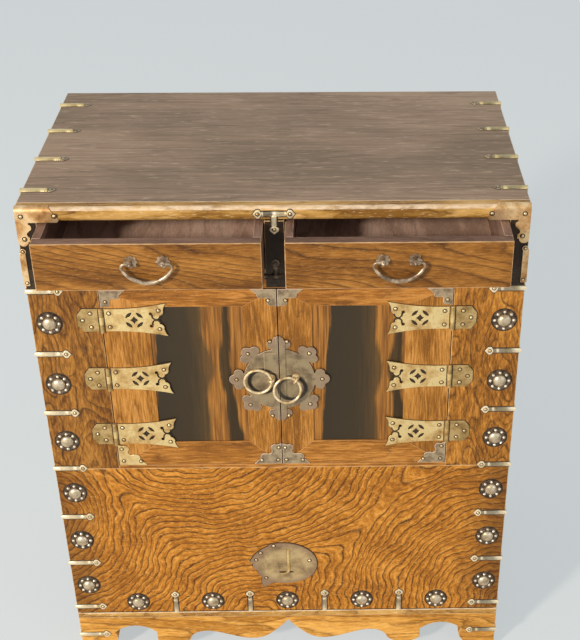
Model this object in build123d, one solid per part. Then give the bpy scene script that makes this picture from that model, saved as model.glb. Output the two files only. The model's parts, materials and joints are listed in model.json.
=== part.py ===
from build123d import *
from math import cos, hypot, radians, sin, sqrt
import os

# Korean chest: two small drawers over a pair of hinged doors, a deep fixed front below them, and a
# bracket base. Millimetres. The origin is on the floor at the middle of the footprint, +Z is up and the
# front faces -Y.

# ---------------------------------------------------------------- driving dimensions
width = 550
depth = 340
height = 655

# Carcass
top_thickness = 16.5
nose_depth = 14
nose_radius = 5
side_thickness = 16
back_thickness = 10
bottom_thickness = 9
bottom_lip = 1
edge_round = 1.5
front_thickness = 18
post_width = 22
divider_width = 22
drawer_opening = 58
drawer_rail_height = 24
shelf_thickness = 8
guide_height = 20
stile_width = 78
door_opening_height = 242.5
sill_height = 5

# Bracket base
base_height = 64
apron_thickness = 16
foot_width = 45
arch_crown = 48
arch_shoulder = 22
apron_peak = 56
side_foot_width = 52
back_rail_height = 30

# Drawers
drawer_length = 300
drawer_gap = 1
drawer_head_gap = 2
running_gap = 0.3
drawer_front_thickness = 14
drawer_side_thickness = 9
drawer_back_thickness = 8
drawer_bottom_thickness = 5
drawer_bottom_rise = 3
drawer_pulled_out = 48

# Drawer handles
handle_above_middle = 7
handle_spacing = 34
bail_drop = 22
bail_bow_radius = 29.6
bail_hook_radius = 4.1
bail_hook_wire = 1.5
bail_bow_wire = 2.5
bail_pin_radius = 1.25
bail_pin_length = 9
bail_standoff = 6.5
rosette_radius = 7.5
rosette_thickness = 1.2
handle_ball_radius = 3
handle_shank_radius = 1.8
handle_finial_radius = 1.9

# Doors
door_gap = 1
seam_gap = 1.2
hinge_stile = 52
meeting_stile = 38
door_top_rail = 22
door_bottom_rail = 33
panel_recess = 1.5
panel_thickness = 8
tongue_thickness = 5
tongue_depth = 5
tongue_gap = 0.2

# Hinges
hinge_top_inset = 39
hinge_bottom_inset = 47.3
hinge_height = 29
hinge_tail_height = 42
hinge_leaf_length = 27
hinge_strap_length = 73
hinge_clip = 6
metal_thickness = 1.2
knuckle_radius = 2.3
knuckle_gap = 0.3
pin_radius = 1.2
pin_fit = 0.05
pin_head_radius = 1.9
pin_head_height = 0.8
coin_radius = 10.6
coin_leaf_width = 3.9
coin_square_reach = 5

# Lock plate, ring pulls and door corners
plate_core_radius = 41
plate_lobe_reach = 58
plate_drop = 119.5
plate_thickness = 1.5
lap_left = 3
lap_right = 7.5
lap_thickness = 1
lock_case_width = 14
lock_case_height = 26
ring_radius = 15.5
ring_wire = 1.5
ring_standoff = 8
eye_radius = 3.2
eye_wire = 1.1
eye_shank_radius = 1.5
eye_collar_radius = 4.2
left_eye_x = -9.2
right_eye_x = 18.7
eye_lift = 3
left_ring_swing = 83
right_ring_swing = 40
right_ring_tilt = 14
corner_reach = 33
corner_rise = 30
upper_corner_reach = 29
upper_corner_rise = 22

# Straps and bosses
strap_leg = 39.5
strap_side_leg = 30
strap_width = 5.4
strap_thickness = 2
spade_width = 8.6
spade_length = 11
spade_thickness = 1.3
strap_below_rail = 2.2
strap_above_floor = 11.3
base_strap_level = 34.5
top_strap_front_inset = 45
top_strap_back_inset = 43
row_strap_length = 36
boss_radius = 14.2
boss_thickness = 1.2
boss_dome_radius = 7.3
boss_dome_height = 4.5
bead_radius = 2
bead_circle = 10.6
boss_inset = 20
row_boss_spacing = 97
row_boss_height = 18.5

# Frame brackets
bracket_arm = 47
bracket_drop = 43
bracket_width = 13
tee_arm = 23
tee_below_top = 8.5
top_tee_stem = 24
foot_tee_stem = 22
foot_tee_below_rail = 9
edge_strip_width = 5.5
edge_strip_top = 53
edge_strip_above_rail_foot = 5.5

# Fish plate
fish_length = 85.5
fish_height_above_floor = 80
fish_thickness = 1.4
fish_panel_thickness = 0.6
fish_bar_radius = 2

# ---------------------------------------------------------------- levels and planes worked out from them
front = -depth / 2
back = depth / 2
half = width / 2
top_underside = height - top_thickness
rail_top = top_underside - drawer_opening
rail_bottom = rail_top - drawer_rail_height
sill_top = rail_bottom - door_opening_height
sill_bottom = sill_top - sill_height
floor_level = base_height + bottom_thickness
frame_back = front + front_thickness
carcass_back = back - back_thickness
side_inner = half - side_thickness
post_edge = half - post_width
stile_edge = half - stile_width
divider_edge = divider_width / 2

parts = {}


# ---------------------------------------------------------------- helpers
def board(x, y, z):
    """A board between three pairs of faces."""
    spans = [(min(pair), max(pair)) for pair in (x, y, z)]
    middle = [(low + high) / 2 for low, high in spans]
    size = [high - low for low, high in spans]
    return Pos(*middle) * Box(*size)


def front_plane(proud=0.0):
    """Sketch plane on the front face: x stays x, y is height, and the normal points out of the chest."""
    return Plane(origin=(0, front - proud, 0), x_dir=(1, 0, 0), z_dir=(0, -1, 0))


def sheet(outline, thickness, proud=0.0):
    """Sheet metal cut to an outline in x and height, lying on the front face."""
    return extrude(front_plane(proud) * outline, thickness)


def outline(*edges):
    """A face inside a closed run of edges."""
    return make_face(Curve() + list(edges))


def shape_through(*points):
    """A straight-sided outline."""
    return make_face(Polyline(*points, close=True))


def box_outline(x, z):
    """A rectangle between two x and two heights."""
    return Pos((x[0] + x[1]) / 2, (z[0] + z[1]) / 2) * Rectangle(abs(x[1] - x[0]), abs(z[1] - z[0]))


def mirrored(shape):
    """The same piece on the other side of the chest."""
    return mirror(shape, about=Plane.YZ)


def both_sides(shape):
    """A piece and its mirror image."""
    return [shape, mirrored(shape)]


def spread(first, last, count):
    """Evenly spaced values from first to last."""
    return [first + (last - first) * step / (count - 1) for step in range(count)]


# ---------------------------------------------------------------- carcass
def nose_section(grow=0.0):
    """Cross-section of the rounded front rail of the top, in y and height, grown for what wraps round it."""
    size = (nose_depth + grow, top_thickness + grow)
    block = Pos(front - grow + size[0] / 2, top_underside + size[1] / 2) * Rectangle(*size)
    nose = block.vertices().sort_by(Axis.X)[:2]
    return fillet(nose, nose_radius + grow)


def along_x(section, x):
    """A section drawn in y and height, run between two x."""
    plane = Plane(origin=(min(x), 0, 0), x_dir=(0, 1, 0), z_dir=(1, 0, 0))
    return extrude(plane * section, abs(x[1] - x[0]))


parts["top_front_rail"] = [along_x(nose_section(), (-half, half))]
parts["top_panel"] = [board((-half, half), (front + nose_depth, back), (top_underside, height))]

side_right = board((side_inner, half), (frame_back, back), (floor_level, top_underside))
parts["side_right"] = [side_right]
parts["side_left"] = [mirrored(side_right)]
parts["back_panel"] = [board((-side_inner, side_inner), (carcass_back, back), (floor_level, top_underside))]

bottom_board = board((-half, half), (front - bottom_lip, back), (base_height, floor_level))
bottom_lip_edges = bottom_board.edges().filter_by(Axis.X).group_by(Axis.Y)[0]
parts["bottom_board"] = [fillet(bottom_lip_edges, edge_round)]

parts["drawer_shelf"] = [
    board((-side_inner, side_inner), (frame_back, carcass_back), (rail_top - shelf_thickness, rail_top))
]
parts["drawer_rail"] = [board((-half, half), (front, frame_back), (rail_bottom, rail_top))]
parts["drawer_divider"] = [
    board((-divider_edge, divider_edge), (front, carcass_back), (rail_top, top_underside))
]
parts["front_posts"] = both_sides(board((post_edge, half), (front, frame_back), (rail_top, top_underside)))
parts["drawer_guides"] = both_sides(
    board((post_edge, side_inner), (frame_back, carcass_back), (rail_top, rail_top + guide_height))
)

stile_right = board((stile_edge, half), (front, frame_back), (sill_bottom, rail_bottom))
parts["stile_right"] = [stile_right]
parts["stile_left"] = [mirrored(stile_right)]
parts["door_sill"] = [board((-stile_edge, stile_edge), (front, frame_back), (sill_bottom, sill_top))]
parts["lower_front_panel"] = [board((-half, half), (front, frame_back), (floor_level, sill_bottom))]


# ---------------------------------------------------------------- bracket base
def apron_opening():
    """One half of the scalloped opening under the front apron, from the middle cusp to the foot."""
    foot = half - foot_width
    pendant_in = foot * 0.57
    pendant_out = foot * 0.76
    ogee_low = foot * 0.2
    below = -1
    return outline(
        Line((0, below), (0, apron_peak)),
        ThreePointArc((0, apron_peak), (ogee_low * 0.18, apron_peak - 10), (ogee_low * 0.55, arch_shoulder + 8)),
        Spline(
            (ogee_low * 0.55, arch_shoulder + 8),
            (ogee_low, arch_shoulder + 1),
            (ogee_low * 1.9, arch_shoulder + 11),
            (ogee_low * 2.4, arch_shoulder + 15),
            (pendant_in * 0.93, arch_shoulder + 12),
            (pendant_in, arch_shoulder),
        ),
        ThreePointArc(
            (pendant_in, arch_shoulder),
            ((pendant_in + pendant_out) / 2, arch_shoulder - 9),
            (pendant_out, arch_shoulder),
        ),
        Line((pendant_out, arch_shoulder), (pendant_out, arch_shoulder + 14)),
        ThreePointArc(
            (pendant_out, arch_shoulder + 14),
            ((pendant_out + foot) / 2, arch_crown),
            (foot, arch_crown - 12),
        ),
        Spline((foot, arch_crown - 12), (foot - 2, arch_shoulder), (foot + 6, 8), (foot + 7, below)),
        Line((foot + 7, below), (0, below)),
    )


half_opening = apron_opening()
apron_blank = box_outline((-half, half), (0, base_height))
apron_face = apron_blank - half_opening - mirror(half_opening, about=Plane.YZ)
parts["base_front_apron"] = [extrude(front_plane() * apron_face, -apron_thickness)]


def base_side():
    """A side of the base on the right: a board with a low arch between two feet."""
    y = (front + apron_thickness, back - apron_thickness)
    arch = (front + side_foot_width, back - side_foot_width)
    crown = arch_crown
    opening = outline(
        Line((arch[0], -1), (arch[0], arch_shoulder)),
        ThreePointArc((arch[0], arch_shoulder), (arch[0] + 9, crown - 7), (arch[0] + 32, crown)),
        Line((arch[0] + 32, crown), (arch[1] - 32, crown)),
        ThreePointArc((arch[1] - 32, crown), (arch[1] - 9, crown - 7), (arch[1], arch_shoulder)),
        Line((arch[1], arch_shoulder), (arch[1], -1)),
        Line((arch[1], -1), (arch[0], -1)),
    )
    return along_x(box_outline(y, (0, base_height)) - opening, (half - apron_thickness, half))


base_side_right = base_side()
parts["base_side_right"] = [base_side_right]
parts["base_side_left"] = [mirrored(base_side_right)]
back_foot = board((half - side_foot_width, half), (back - apron_thickness, back), (0, base_height))
back_rail = board((-half, half), (back - apron_thickness, back), (base_height - back_rail_height, base_height))
parts["base_back_rail"] = [back_rail + back_foot + mirrored(back_foot)]


# ---------------------------------------------------------------- doors
door_edge = stile_edge - door_gap
seam_edge = seam_gap / 2
door_top = rail_bottom - door_gap
door_bottom = sill_top + door_gap
panel_x = (meeting_stile + seam_edge, door_edge - hinge_stile)
panel_z = (door_bottom + door_bottom_rail, door_top - door_top_rail)
tongue_back = front + panel_recess + panel_thickness


def door_member(*corners):
    """One mitred frame member, grooved on its inner edge for the panel's tongue."""
    blank = extrude(front_plane() * shape_through(*corners), -front_thickness)
    reach = tongue_depth + tongue_gap
    groove = board(
        (panel_x[0] - reach, panel_x[1] + reach),
        (tongue_back - tongue_thickness - tongue_gap, tongue_back + tongue_gap),
        (panel_z[0] - reach, panel_z[1] + reach),
    )
    return blank - groove


inner_corners = [(x, z) for z in panel_z for x in panel_x]
outer_corners = [(x, z) for z in (door_bottom, door_top) for x in (seam_edge, door_edge)]
door_frame = {
    "door_stile_meeting": [
        door_member(outer_corners[0], inner_corners[0], inner_corners[2], outer_corners[2]),
    ],
    "door_stile_hinge": [
        door_member(outer_corners[1], outer_corners[3], inner_corners[3], inner_corners[1]),
    ],
    "door_rails": [
        door_member(outer_corners[0], outer_corners[1], inner_corners[1], inner_corners[0]),
        door_member(outer_corners[2], inner_corners[2], inner_corners[3], outer_corners[3]),
    ],
}
door_field = board(panel_x, (front + panel_recess, tongue_back), panel_z)
door_tongue = board(
    (panel_x[0] - tongue_depth, panel_x[1] + tongue_depth),
    (tongue_back - tongue_thickness, tongue_back),
    (panel_z[0] - tongue_depth, panel_z[1] + tongue_depth),
)
door_frame["door_panel"] = [door_field + door_tongue]


# ---------------------------------------------------------------- hinges
hinge_axis_x = stile_edge - door_gap / 2
hinge_axis_y = front - knuckle_radius - 0.2
hinge_levels = spread(rail_bottom - hinge_top_inset, sill_top + hinge_bottom_inset, 3)
knuckle_length = (hinge_height - 2 * knuckle_gap) / 3


def lens(length, breadth):
    """A pointed leaf, the overlap of two equal circles."""
    radius = (length * length / 4 + breadth * breadth / 4) / breadth
    shift = radius - breadth / 2
    return (Pos(0, shift) * Circle(radius)) & (Pos(0, -shift) * Circle(radius))


def coin_motif():
    """The pierced coin: four leaves round a small square with hollow sides."""
    leaf_circle = coin_radius - coin_leaf_width / 2
    leaf_length = coin_radius * 0.98
    tip, hollow = coin_square_reach, coin_square_reach * 0.42
    motif = outline(
        ThreePointArc((tip, 0), (hollow, hollow), (0, tip)),
        ThreePointArc((0, tip), (-hollow, hollow), (-tip, 0)),
        ThreePointArc((-tip, 0), (-hollow, -hollow), (0, -tip)),
        ThreePointArc((0, -tip), (hollow, -hollow), (tip, 0)),
    )
    for quarter in range(4):
        motif += Rot(0, 0, 45 + 90 * quarter) * Pos(0, leaf_circle) * lens(leaf_length, coin_leaf_width)
    return motif


def tail_place(back, up):
    """A place on the fish tail: how far back from the tips of its horns, and up from the hinge's middle."""
    tail = hinge_tail_height / 2
    return hinge_strap_length - back * tail, up * tail


def tail_curl(side):
    """The channel that curls round the inner lobe of the tail, and the round eye where it ends."""
    tail = hinge_tail_height / 2
    lobe = tail_place(0.562, side * 0.229)
    eye = tail_place(0.838, side * 0.376)
    channel = Pos(*lobe) * (Circle(tail * 0.257) - Circle(tail * 0.162))
    sector = shape_through(lobe, tail_place(0.94, side * 0.429), tail_place(0.952, 0), tail_place(0.562, 0))
    return (channel & sector) + Pos(*eye) * Circle(tail * 0.1)


def strap_outline():
    """The long leaf of a hinge, drawn from the pin: it flares to a fish tail with two curled lobes."""
    length = hinge_strap_length
    root = hinge_height / 2
    tail = hinge_tail_height / 2
    waist = root + (tail - root) * 0.12
    cheek = tail_place(0.167, 0.62)
    notch = tail_place(0.571, 0.1)
    body = outline(
        Line((0, -root), (0, root)),
        ThreePointArc((0, root), (length * 0.52, waist), (length, tail)),
        ThreePointArc((length, tail), tail_place(0.119, 0.8), cheek),
        Line(cheek, notch),
        Line(notch, (notch[0], -notch[1])),
        Line((notch[0], -notch[1]), (cheek[0], -cheek[1])),
        ThreePointArc((cheek[0], -cheek[1]), tail_place(0.119, -0.8), (length, -tail)),
        ThreePointArc((length, -tail), (length * 0.52, -waist), (0, -root)),
    )
    for side in (-1, 1):
        body += Pos(*tail_place(0.41, side * 0.5)) * Circle(tail * 0.238)
        body += Pos(*tail_place(0.562, side * 0.229)) * Circle(tail * 0.162)
    for side in (-1, 1):
        body -= tail_curl(side)
    return body - Pos(length / 2, 0) * coin_motif()


def leaf_outline():
    """The short leaf of a hinge, drawn from the pin, with its outer corners clipped."""
    root = hinge_height / 2
    tip = hinge_leaf_length
    return shape_through(
        (0, -root),
        (tip - hinge_clip, -root),
        (tip, -root + hinge_clip * 1.3),
        (tip, root - hinge_clip * 1.3),
        (tip - hinge_clip, root),
        (0, root),
    )


def knuckle(level, slots):
    """Barrel lengths on the pin's axis, counted up from the foot of the hinge."""
    rings = []
    for slot in slots:
        foot = level - hinge_height / 2 + slot * (knuckle_length + knuckle_gap)
        middle = Pos(hinge_axis_x, hinge_axis_y, foot + knuckle_length / 2)
        rings.append(middle * Cylinder(knuckle_radius, knuckle_length))
    return rings


def hinge_half(level, plate_shape, slots, toward):
    """A leaf with its own knuckles, cleared round the other leaf's knuckles and bored for the pin."""
    turned = plate_shape if toward > 0 else mirror(plate_shape, about=Plane.YZ)
    placed = Pos(hinge_axis_x, level) * turned
    body = sheet(placed, metal_thickness)
    clearing = Pos(hinge_axis_x, hinge_axis_y, level) * Cylinder(knuckle_radius + knuckle_gap, hinge_height + 2)
    body -= clearing
    web_y = (front - metal_thickness, front)
    for ring in knuckle(level, slots):
        middle = ring.center().Z
        span = (middle - knuckle_length / 2, middle + knuckle_length / 2)
        web = board((hinge_axis_x, hinge_axis_x + toward * (knuckle_radius + 2)), web_y, span)
        body += web
        body += ring
    bore = Pos(hinge_axis_x, hinge_axis_y, level) * Cylinder(pin_radius + pin_fit, hinge_height + 2)
    return body - bore


def hinge_pin(level):
    """A pin through the three knuckles, with a small head at each end."""
    pin = Pos(hinge_axis_x, hinge_axis_y, level) * Cylinder(pin_radius, hinge_height + 2 * pin_head_height)
    for end in (-1, 1):
        head_level = level + end * (hinge_height + pin_head_height) / 2
        pin += Pos(hinge_axis_x, hinge_axis_y, head_level) * Cylinder(pin_head_radius, pin_head_height)
    return pin


hinge_leaves = [hinge_half(level, leaf_outline(), (0, 2), 1) for level in hinge_levels]
hinge_straps = [hinge_half(level, strap_outline(), (1,), -1) for level in hinge_levels]
hinge_pins = [hinge_pin(level) for level in hinge_levels]
parts["hinge_leaves_right"] = hinge_leaves
parts["hinge_leaves_left"] = [mirrored(leaf) for leaf in hinge_leaves]
parts["hinge_pins"] = hinge_pins + [mirrored(pin) for pin in hinge_pins]


# ---------------------------------------------------------------- door corner plates
def corner_outline(reach, rise):
    """A corner plate with its right angle at the origin and a scrolled long edge."""
    slope = [(reach * 0.86, rise * 0.16), (reach * 0.2, rise * 0.92)]
    shape = shape_through((0, 0), (reach, 0), *slope, (0, rise))
    lobe = min(reach, rise) * 0.17
    shape += Pos(reach * 0.24, rise * 0.78) * Circle(lobe)
    shape += Pos(reach * 0.62, rise * 0.34) * Circle(lobe)
    shape -= Pos(reach * 0.47, rise * 0.63) * Circle(lobe * 0.8)
    return shape


def corner_plate(x, z, reach, rise):
    """A corner plate placed on a door; a negative reach or rise turns it over."""
    shape = corner_outline(abs(reach), abs(rise))
    if reach < 0:
        shape = mirror(shape, about=Plane.YZ)
    if rise < 0:
        shape = mirror(shape, about=Plane.XZ)
    return sheet(Pos(x, z) * shape, metal_thickness)


corner_plates = [
    corner_plate(door_edge, door_top, -upper_corner_reach, -upper_corner_rise),
    corner_plate(door_edge, door_bottom, -corner_reach, corner_rise),
    corner_plate(seam_edge, door_top, upper_corner_reach, -upper_corner_rise),
    corner_plate(seam_edge, door_bottom, corner_reach, corner_rise),
]

door_pieces = dict(door_frame, hinge_straps=hinge_straps, door_corners=corner_plates)
for name, solids in door_pieces.items():
    parts[name + "_right"] = solids
    parts[name + "_left"] = [mirrored(solid) for solid in solids]


# ---------------------------------------------------------------- lock plate and ring pulls
plate_level = rail_bottom - plate_drop


def plate_outline():
    """The round lock plate: eight cloud-shaped lobes round a disc."""
    shape = Circle(plate_core_radius)
    for lobe in range(8):
        turn = Rot(0, 0, 45 * lobe)
        shape += turn * Pos(plate_lobe_reach - 12, 0) * Circle(9.5)
        shape += turn * Pos(plate_lobe_reach - 6.5, 0) * Circle(6.5)
        for side in (-1, 1):
            shape += turn * Pos(plate_lobe_reach - 11, side * 8) * Circle(5.5)
    return Pos(0, plate_level) * shape


lobe_top = plate_level + plate_lobe_reach
full_plate = plate_outline()
right_half = box_outline((seam_edge, half), (0, height))
left_half = box_outline((-half, -seam_edge), (0, height))
lap_z = (plate_level - plate_lobe_reach + 1, lobe_top - 1)
lap_bar_right = box_outline((seam_edge, lap_right), lap_z) & full_plate
lap_bar_left = box_outline((-lap_left, -seam_edge), lap_z) & full_plate
case_x = (-lap_left - lock_case_width, -lap_left)
case_z = (plate_level + 36 - lock_case_height, plate_level + 36)
lock_case = box_outline(case_x, case_z)

lock_right = sheet(full_plate & right_half, plate_thickness)
lock_right += sheet(lap_bar_right, plate_thickness + lap_thickness)
lock_left = sheet(full_plate & left_half, plate_thickness)
lock_left += sheet(lap_bar_left, plate_thickness + lap_thickness)
lock_left += sheet(lock_case, plate_thickness + lap_thickness * 1.4)
parts["lock_plate_right"] = [lock_right]
parts["lock_plate_left"] = [lock_left]

eye_level = plate_level + eye_lift


def ring_tangent(swing):
    """Direction of the ring's wire where it passes its eye, for a ring swung to the left from hanging."""
    return Vector(cos(radians(swing)), 0, -sin(radians(swing)))


def ring_eye(x, swing):
    """An eye bolt that stands out of the lock plate and carries a ring."""
    centre = Vector(x, front - ring_standoff, eye_level)
    eye_plane = Plane(origin=centre, x_dir=(0, 1, 0), z_dir=ring_tangent(swing))
    bolt = eye_plane * Torus(eye_radius, eye_wire)
    foot = front - plate_thickness
    shank_end = centre.Y + eye_radius
    shank = Plane(origin=(x, foot, eye_level), x_dir=(1, 0, 0), z_dir=(0, -1, 0))
    bolt += shank * Pos(0, 0, (foot - shank_end) / 2) * Cylinder(eye_shank_radius, foot - shank_end)
    collar_height = 1
    bolt += shank * Pos(0, 0, collar_height / 2) * Cylinder(eye_collar_radius, collar_height)
    return bolt


def pull_ring(x, swing, tilt):
    """A ring hanging from its eye, swung to the left and tilted out from the plate."""
    eye = Vector(x, front - ring_standoff, eye_level)
    down = Vector(-sin(radians(swing)), 0, -cos(radians(swing)))
    away = Vector(0, -1, 0)
    reach = down * cos(radians(tilt)) + away * sin(radians(tilt))
    normal = reach.cross(ring_tangent(swing))
    ring_plane = Plane(origin=eye + reach * ring_radius, x_dir=reach, z_dir=normal)
    return ring_plane * Torus(ring_radius, ring_wire)


parts["ring_eye_left"] = [ring_eye(left_eye_x, left_ring_swing)]
parts["ring_eye_right"] = [ring_eye(right_eye_x, right_ring_swing)]
parts["ring_left"] = [pull_ring(left_eye_x, left_ring_swing, 0)]
parts["ring_right"] = [pull_ring(right_eye_x, right_ring_swing, right_ring_tilt)]


# ---------------------------------------------------------------- drawers
drawer_x = (divider_edge + drawer_gap, post_edge - drawer_gap)
drawer_middle = (drawer_x[0] + drawer_x[1]) / 2
drawer_face = front - drawer_pulled_out
drawer_box_front = drawer_face + drawer_front_thickness
drawer_end = drawer_face + drawer_length
drawer_foot = rail_top + running_gap
drawer_front_z = (rail_top + drawer_gap, top_underside - drawer_head_gap)
inner_x = (drawer_x[0] + drawer_side_thickness, drawer_x[1] - drawer_side_thickness)

drawer_front = board(drawer_x, (drawer_face, drawer_box_front), drawer_front_z)
drawer_walls = [
    board((drawer_x[0], inner_x[0]), (drawer_box_front, drawer_end), (drawer_foot, drawer_front_z[1])),
    board((inner_x[1], drawer_x[1]), (drawer_box_front, drawer_end), (drawer_foot, drawer_front_z[1])),
    board(inner_x, (drawer_end - drawer_back_thickness, drawer_end), (drawer_foot, drawer_front_z[1])),
]
bottom_z = (drawer_foot + drawer_bottom_rise, drawer_foot + drawer_bottom_rise + drawer_bottom_thickness)
drawer_bottom = board(inner_x, (drawer_box_front, drawer_end - drawer_back_thickness), bottom_z)

handle_level = (drawer_front_z[0] + drawer_front_z[1]) / 2 + handle_above_middle
handle_axis_y = drawer_face - bail_standoff
out_of_drawer = Plane(origin=(drawer_middle, drawer_face, handle_level), x_dir=(1, 0, 0), z_dir=(0, -1, 0))


def handle_post(x):
    """A flower rosette and the ball-headed post that carries one end of the bail."""
    flower = Circle(rosette_radius - 1.4)
    for petal in range(8):
        flower += Rot(0, 0, 45 * petal) * Pos(rosette_radius - 1.8, 0) * Circle(1.8)
    post = extrude(flower, rosette_thickness)
    post += Pos(0, 0, bail_standoff / 2) * Cylinder(handle_shank_radius, bail_standoff)
    post += Pos(0, 0, bail_standoff) * Sphere(handle_ball_radius)
    post += Pos(0, 0, bail_standoff + handle_ball_radius) * Sphere(handle_finial_radius)
    bore = Rot(0, 90, 0) * Cylinder(bail_pin_radius + pin_fit, 4 * handle_ball_radius)
    return out_of_drawer * Pos(x, 0, 0) * (post - Pos(0, 0, bail_standoff) * bore)


def bail():
    """The hanging bail: a bow that is thickest in the middle, hooked in at both ends to pins in the posts."""
    bow_centre = bail_bow_radius - bail_drop
    hook_x = sqrt((bail_bow_radius - bail_hook_radius) ** 2 - (bow_centre + bail_hook_radius) ** 2)
    reach = hypot(hook_x, bow_centre + bail_hook_radius)
    join = (
        hook_x * bail_bow_radius / reach,
        bow_centre - (bow_centre + bail_hook_radius) * bail_bow_radius / reach,
    )
    side = (hook_x + bail_hook_radius * cos(radians(25)), bail_hook_radius * (sin(radians(25)) - 1))
    bow = ThreePointArc((-join[0], join[1]), (0, -bail_drop), join)
    sections = []
    for place, wire in ((0, bail_hook_wire), (0.5, bail_bow_wire), (1, bail_hook_wire)):
        sections.append(Plane(origin=bow @ place, z_dir=bow % place) * Circle(wire))
    shape = sweep(sections, path=bow, multisection=True)
    hook = ThreePointArc(join, side, (hook_x, 0))
    hook_start = Plane(origin=hook @ 0, z_dir=hook % 0) * Circle(bail_hook_wire)
    hook_solid = sweep(hook_start, path=hook)
    pin_middle = hook_x - bail_pin_length / 2
    pin = Pos(pin_middle, 0, 0) * Rot(0, 90, 0) * Cylinder(bail_pin_radius, bail_pin_length)
    for end in (hook_solid, pin):
        shape += end
        shape += mirror(end, about=Plane.YZ)
    return out_of_drawer * Pos(0, 0, bail_standoff) * shape


handle_posts = [handle_post(x) for x in (-handle_spacing / 2, handle_spacing / 2)]
drawer_pieces = {
    "drawer_front": [drawer_front],
    "drawer_box": drawer_walls,
    "drawer_bottom": [drawer_bottom],
    "handle_posts": handle_posts,
    "bail": [bail()],
}
for name, solids in drawer_pieces.items():
    parts[name + "_right"] = solids
    parts[name + "_left"] = [mirrored(solid) for solid in solids]


# ---------------------------------------------------------------- straps
def leg(length):
    """One leg of a strap: a bar with chamfered long edges, and a thinner spade at its end for a nail."""
    bar_end = length - spade_length
    blank = Pos(bar_end / 2, 0, strap_thickness / 2) * Box(bar_end, strap_width, strap_thickness)
    ridge = blank.edges().filter_by(Axis.X).group_by(Axis.Z)[-1]
    neck = strap_width * 0.3
    spade = spade_width / 2
    shoulder = bar_end + spade_length * 0.27
    cheek = length - spade_length * 0.36
    upper = [(bar_end - 1, neck), (bar_end, neck), (shoulder, spade), (cheek, spade), (length, 0)]
    lower = [(x, -y) for x, y in reversed(upper[:-1])]
    return chamfer(ridge, strap_thickness * 0.45) + extrude(shape_through(*upper, *lower), spade_thickness)


def corner_strap(long_leg, short_leg):
    """A strap bent round a corner: one leg along +X on the face, the other down the face at x = 0."""
    face_leg = leg(long_leg)
    side_leg = mirror(Rot(0, -90, 0) * leg(short_leg), about=Plane.XY)
    knee = Pos(-strap_thickness / 2, 0, strap_thickness / 2) * Box(strap_thickness, strap_width, strap_thickness)
    outer = knee.edges().filter_by(Axis.Y).sort_by(lambda edge: edge.center().X - edge.center().Z)[0]
    return face_leg + side_leg + chamfer(outer, strap_thickness * 0.45)


side_strap = corner_strap(strap_leg, strap_side_leg)
upper_levels = spread(rail_bottom - strap_below_rail, sill_bottom + sill_height / 4, 4)
lower_levels = spread(upper_levels[-1], floor_level + strap_above_floor, 4)
strap_levels = upper_levels + lower_levels[1:]
front_straps = []
for level in strap_levels + [base_strap_level]:
    corner = Plane(origin=(half, front, level), x_dir=(-1, 0, 0), z_dir=(0, -1, 0))
    front_straps.append(corner * side_strap)
parts["straps_front_corners"] = front_straps + [mirrored(strap) for strap in front_straps]

top_straps = []
for y in spread(front + top_strap_front_inset, back - top_strap_back_inset, 4):
    corner = Plane(origin=(half, y, height), x_dir=(-1, 0, 0), z_dir=(0, 0, 1))
    top_straps.append(corner * side_strap)
parts["straps_top"] = top_straps + [mirrored(strap) for strap in top_straps]

row_strap = leg(row_strap_length)
row_straps = []
for step in (0.5, 1.5):
    foot = (step * row_boss_spacing, front, floor_level)
    upright = Plane(origin=foot, x_dir=(0, 0, 1), z_dir=(0, -1, 0))
    row_straps.append(upright * row_strap)
parts["straps_bottom_row"] = row_straps + [mirrored(strap) for strap in row_straps]


# ---------------------------------------------------------------- bosses
def boss():
    """A flower boss: a scalloped plate, a ring of beads and a raised dome."""
    plate = Circle(boss_radius - 2.5)
    for petal in range(8):
        plate += Rot(0, 0, 45 * petal + 22.5) * Pos(boss_radius - 4.6, 0) * Circle(4.6)
    solid = extrude(plate, boss_thickness)
    sphere_radius = (boss_dome_radius**2 + boss_dome_height**2) / (2 * boss_dome_height)
    dome = Pos(0, 0, boss_thickness + boss_dome_height - sphere_radius) * Sphere(sphere_radius)
    above = Pos(0, 0, boss_thickness / 2 + 20) * Box(60, 60, 40)
    solid += dome & above
    bead_height = bead_radius * 0.9
    for bead in range(8):
        place = Rot(0, 0, 45 * bead) * Pos(bead_circle, 0, boss_thickness + bead_height / 2)
        solid += place * Cone(bead_radius, bead_radius * 0.55, bead_height)
    return solid


boss_shape = boss()
side_bosses = []
for upper, lower in zip(strap_levels, strap_levels[1:]):
    side_bosses.append(front_plane() * Pos(half - boss_inset, (upper + lower) / 2) * boss_shape)
parts["bosses_sides"] = side_bosses + [mirrored(solid) for solid in side_bosses]
row_level = floor_level + row_boss_height
parts["bosses_bottom_row"] = [
    front_plane() * Pos(step * row_boss_spacing, row_level) * boss_shape for step in range(-2, 3)
]


# ---------------------------------------------------------------- frame brackets
def corner_bracket():
    """The bracket at the top corner: an arm folded over the rail's upper edge, and an arm down the post."""
    flat_start = top_underside + nose_radius
    fold = nose_section(metal_thickness) - nose_section()
    fold &= box_outline((front - metal_thickness, front + nose_radius), (flat_start, height + metal_thickness))
    arm = along_x(fold, (half - bracket_arm, half))
    drop_end = height - bracket_drop
    inner = half - bracket_width
    tip_radius = bracket_width / 2 - 1
    drop = box_outline((inner, half), (drop_end + 4, top_underside))
    drop += Pos(half - tip_radius, drop_end + 4) * Circle(tip_radius)
    drop += Pos(inner + 1, top_underside - 6) * Circle(4)
    drop -= Pos(inner - 1, top_underside - 14) * Circle(3.5)
    drop &= box_outline((post_edge, half), (drop_end - bracket_width, top_underside))
    face = drop + box_outline((half - bracket_arm, half), (top_underside, flat_start + 1))
    return arm + sheet(face, metal_thickness)


parts["corner_brackets"] = both_sides(corner_bracket())


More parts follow.
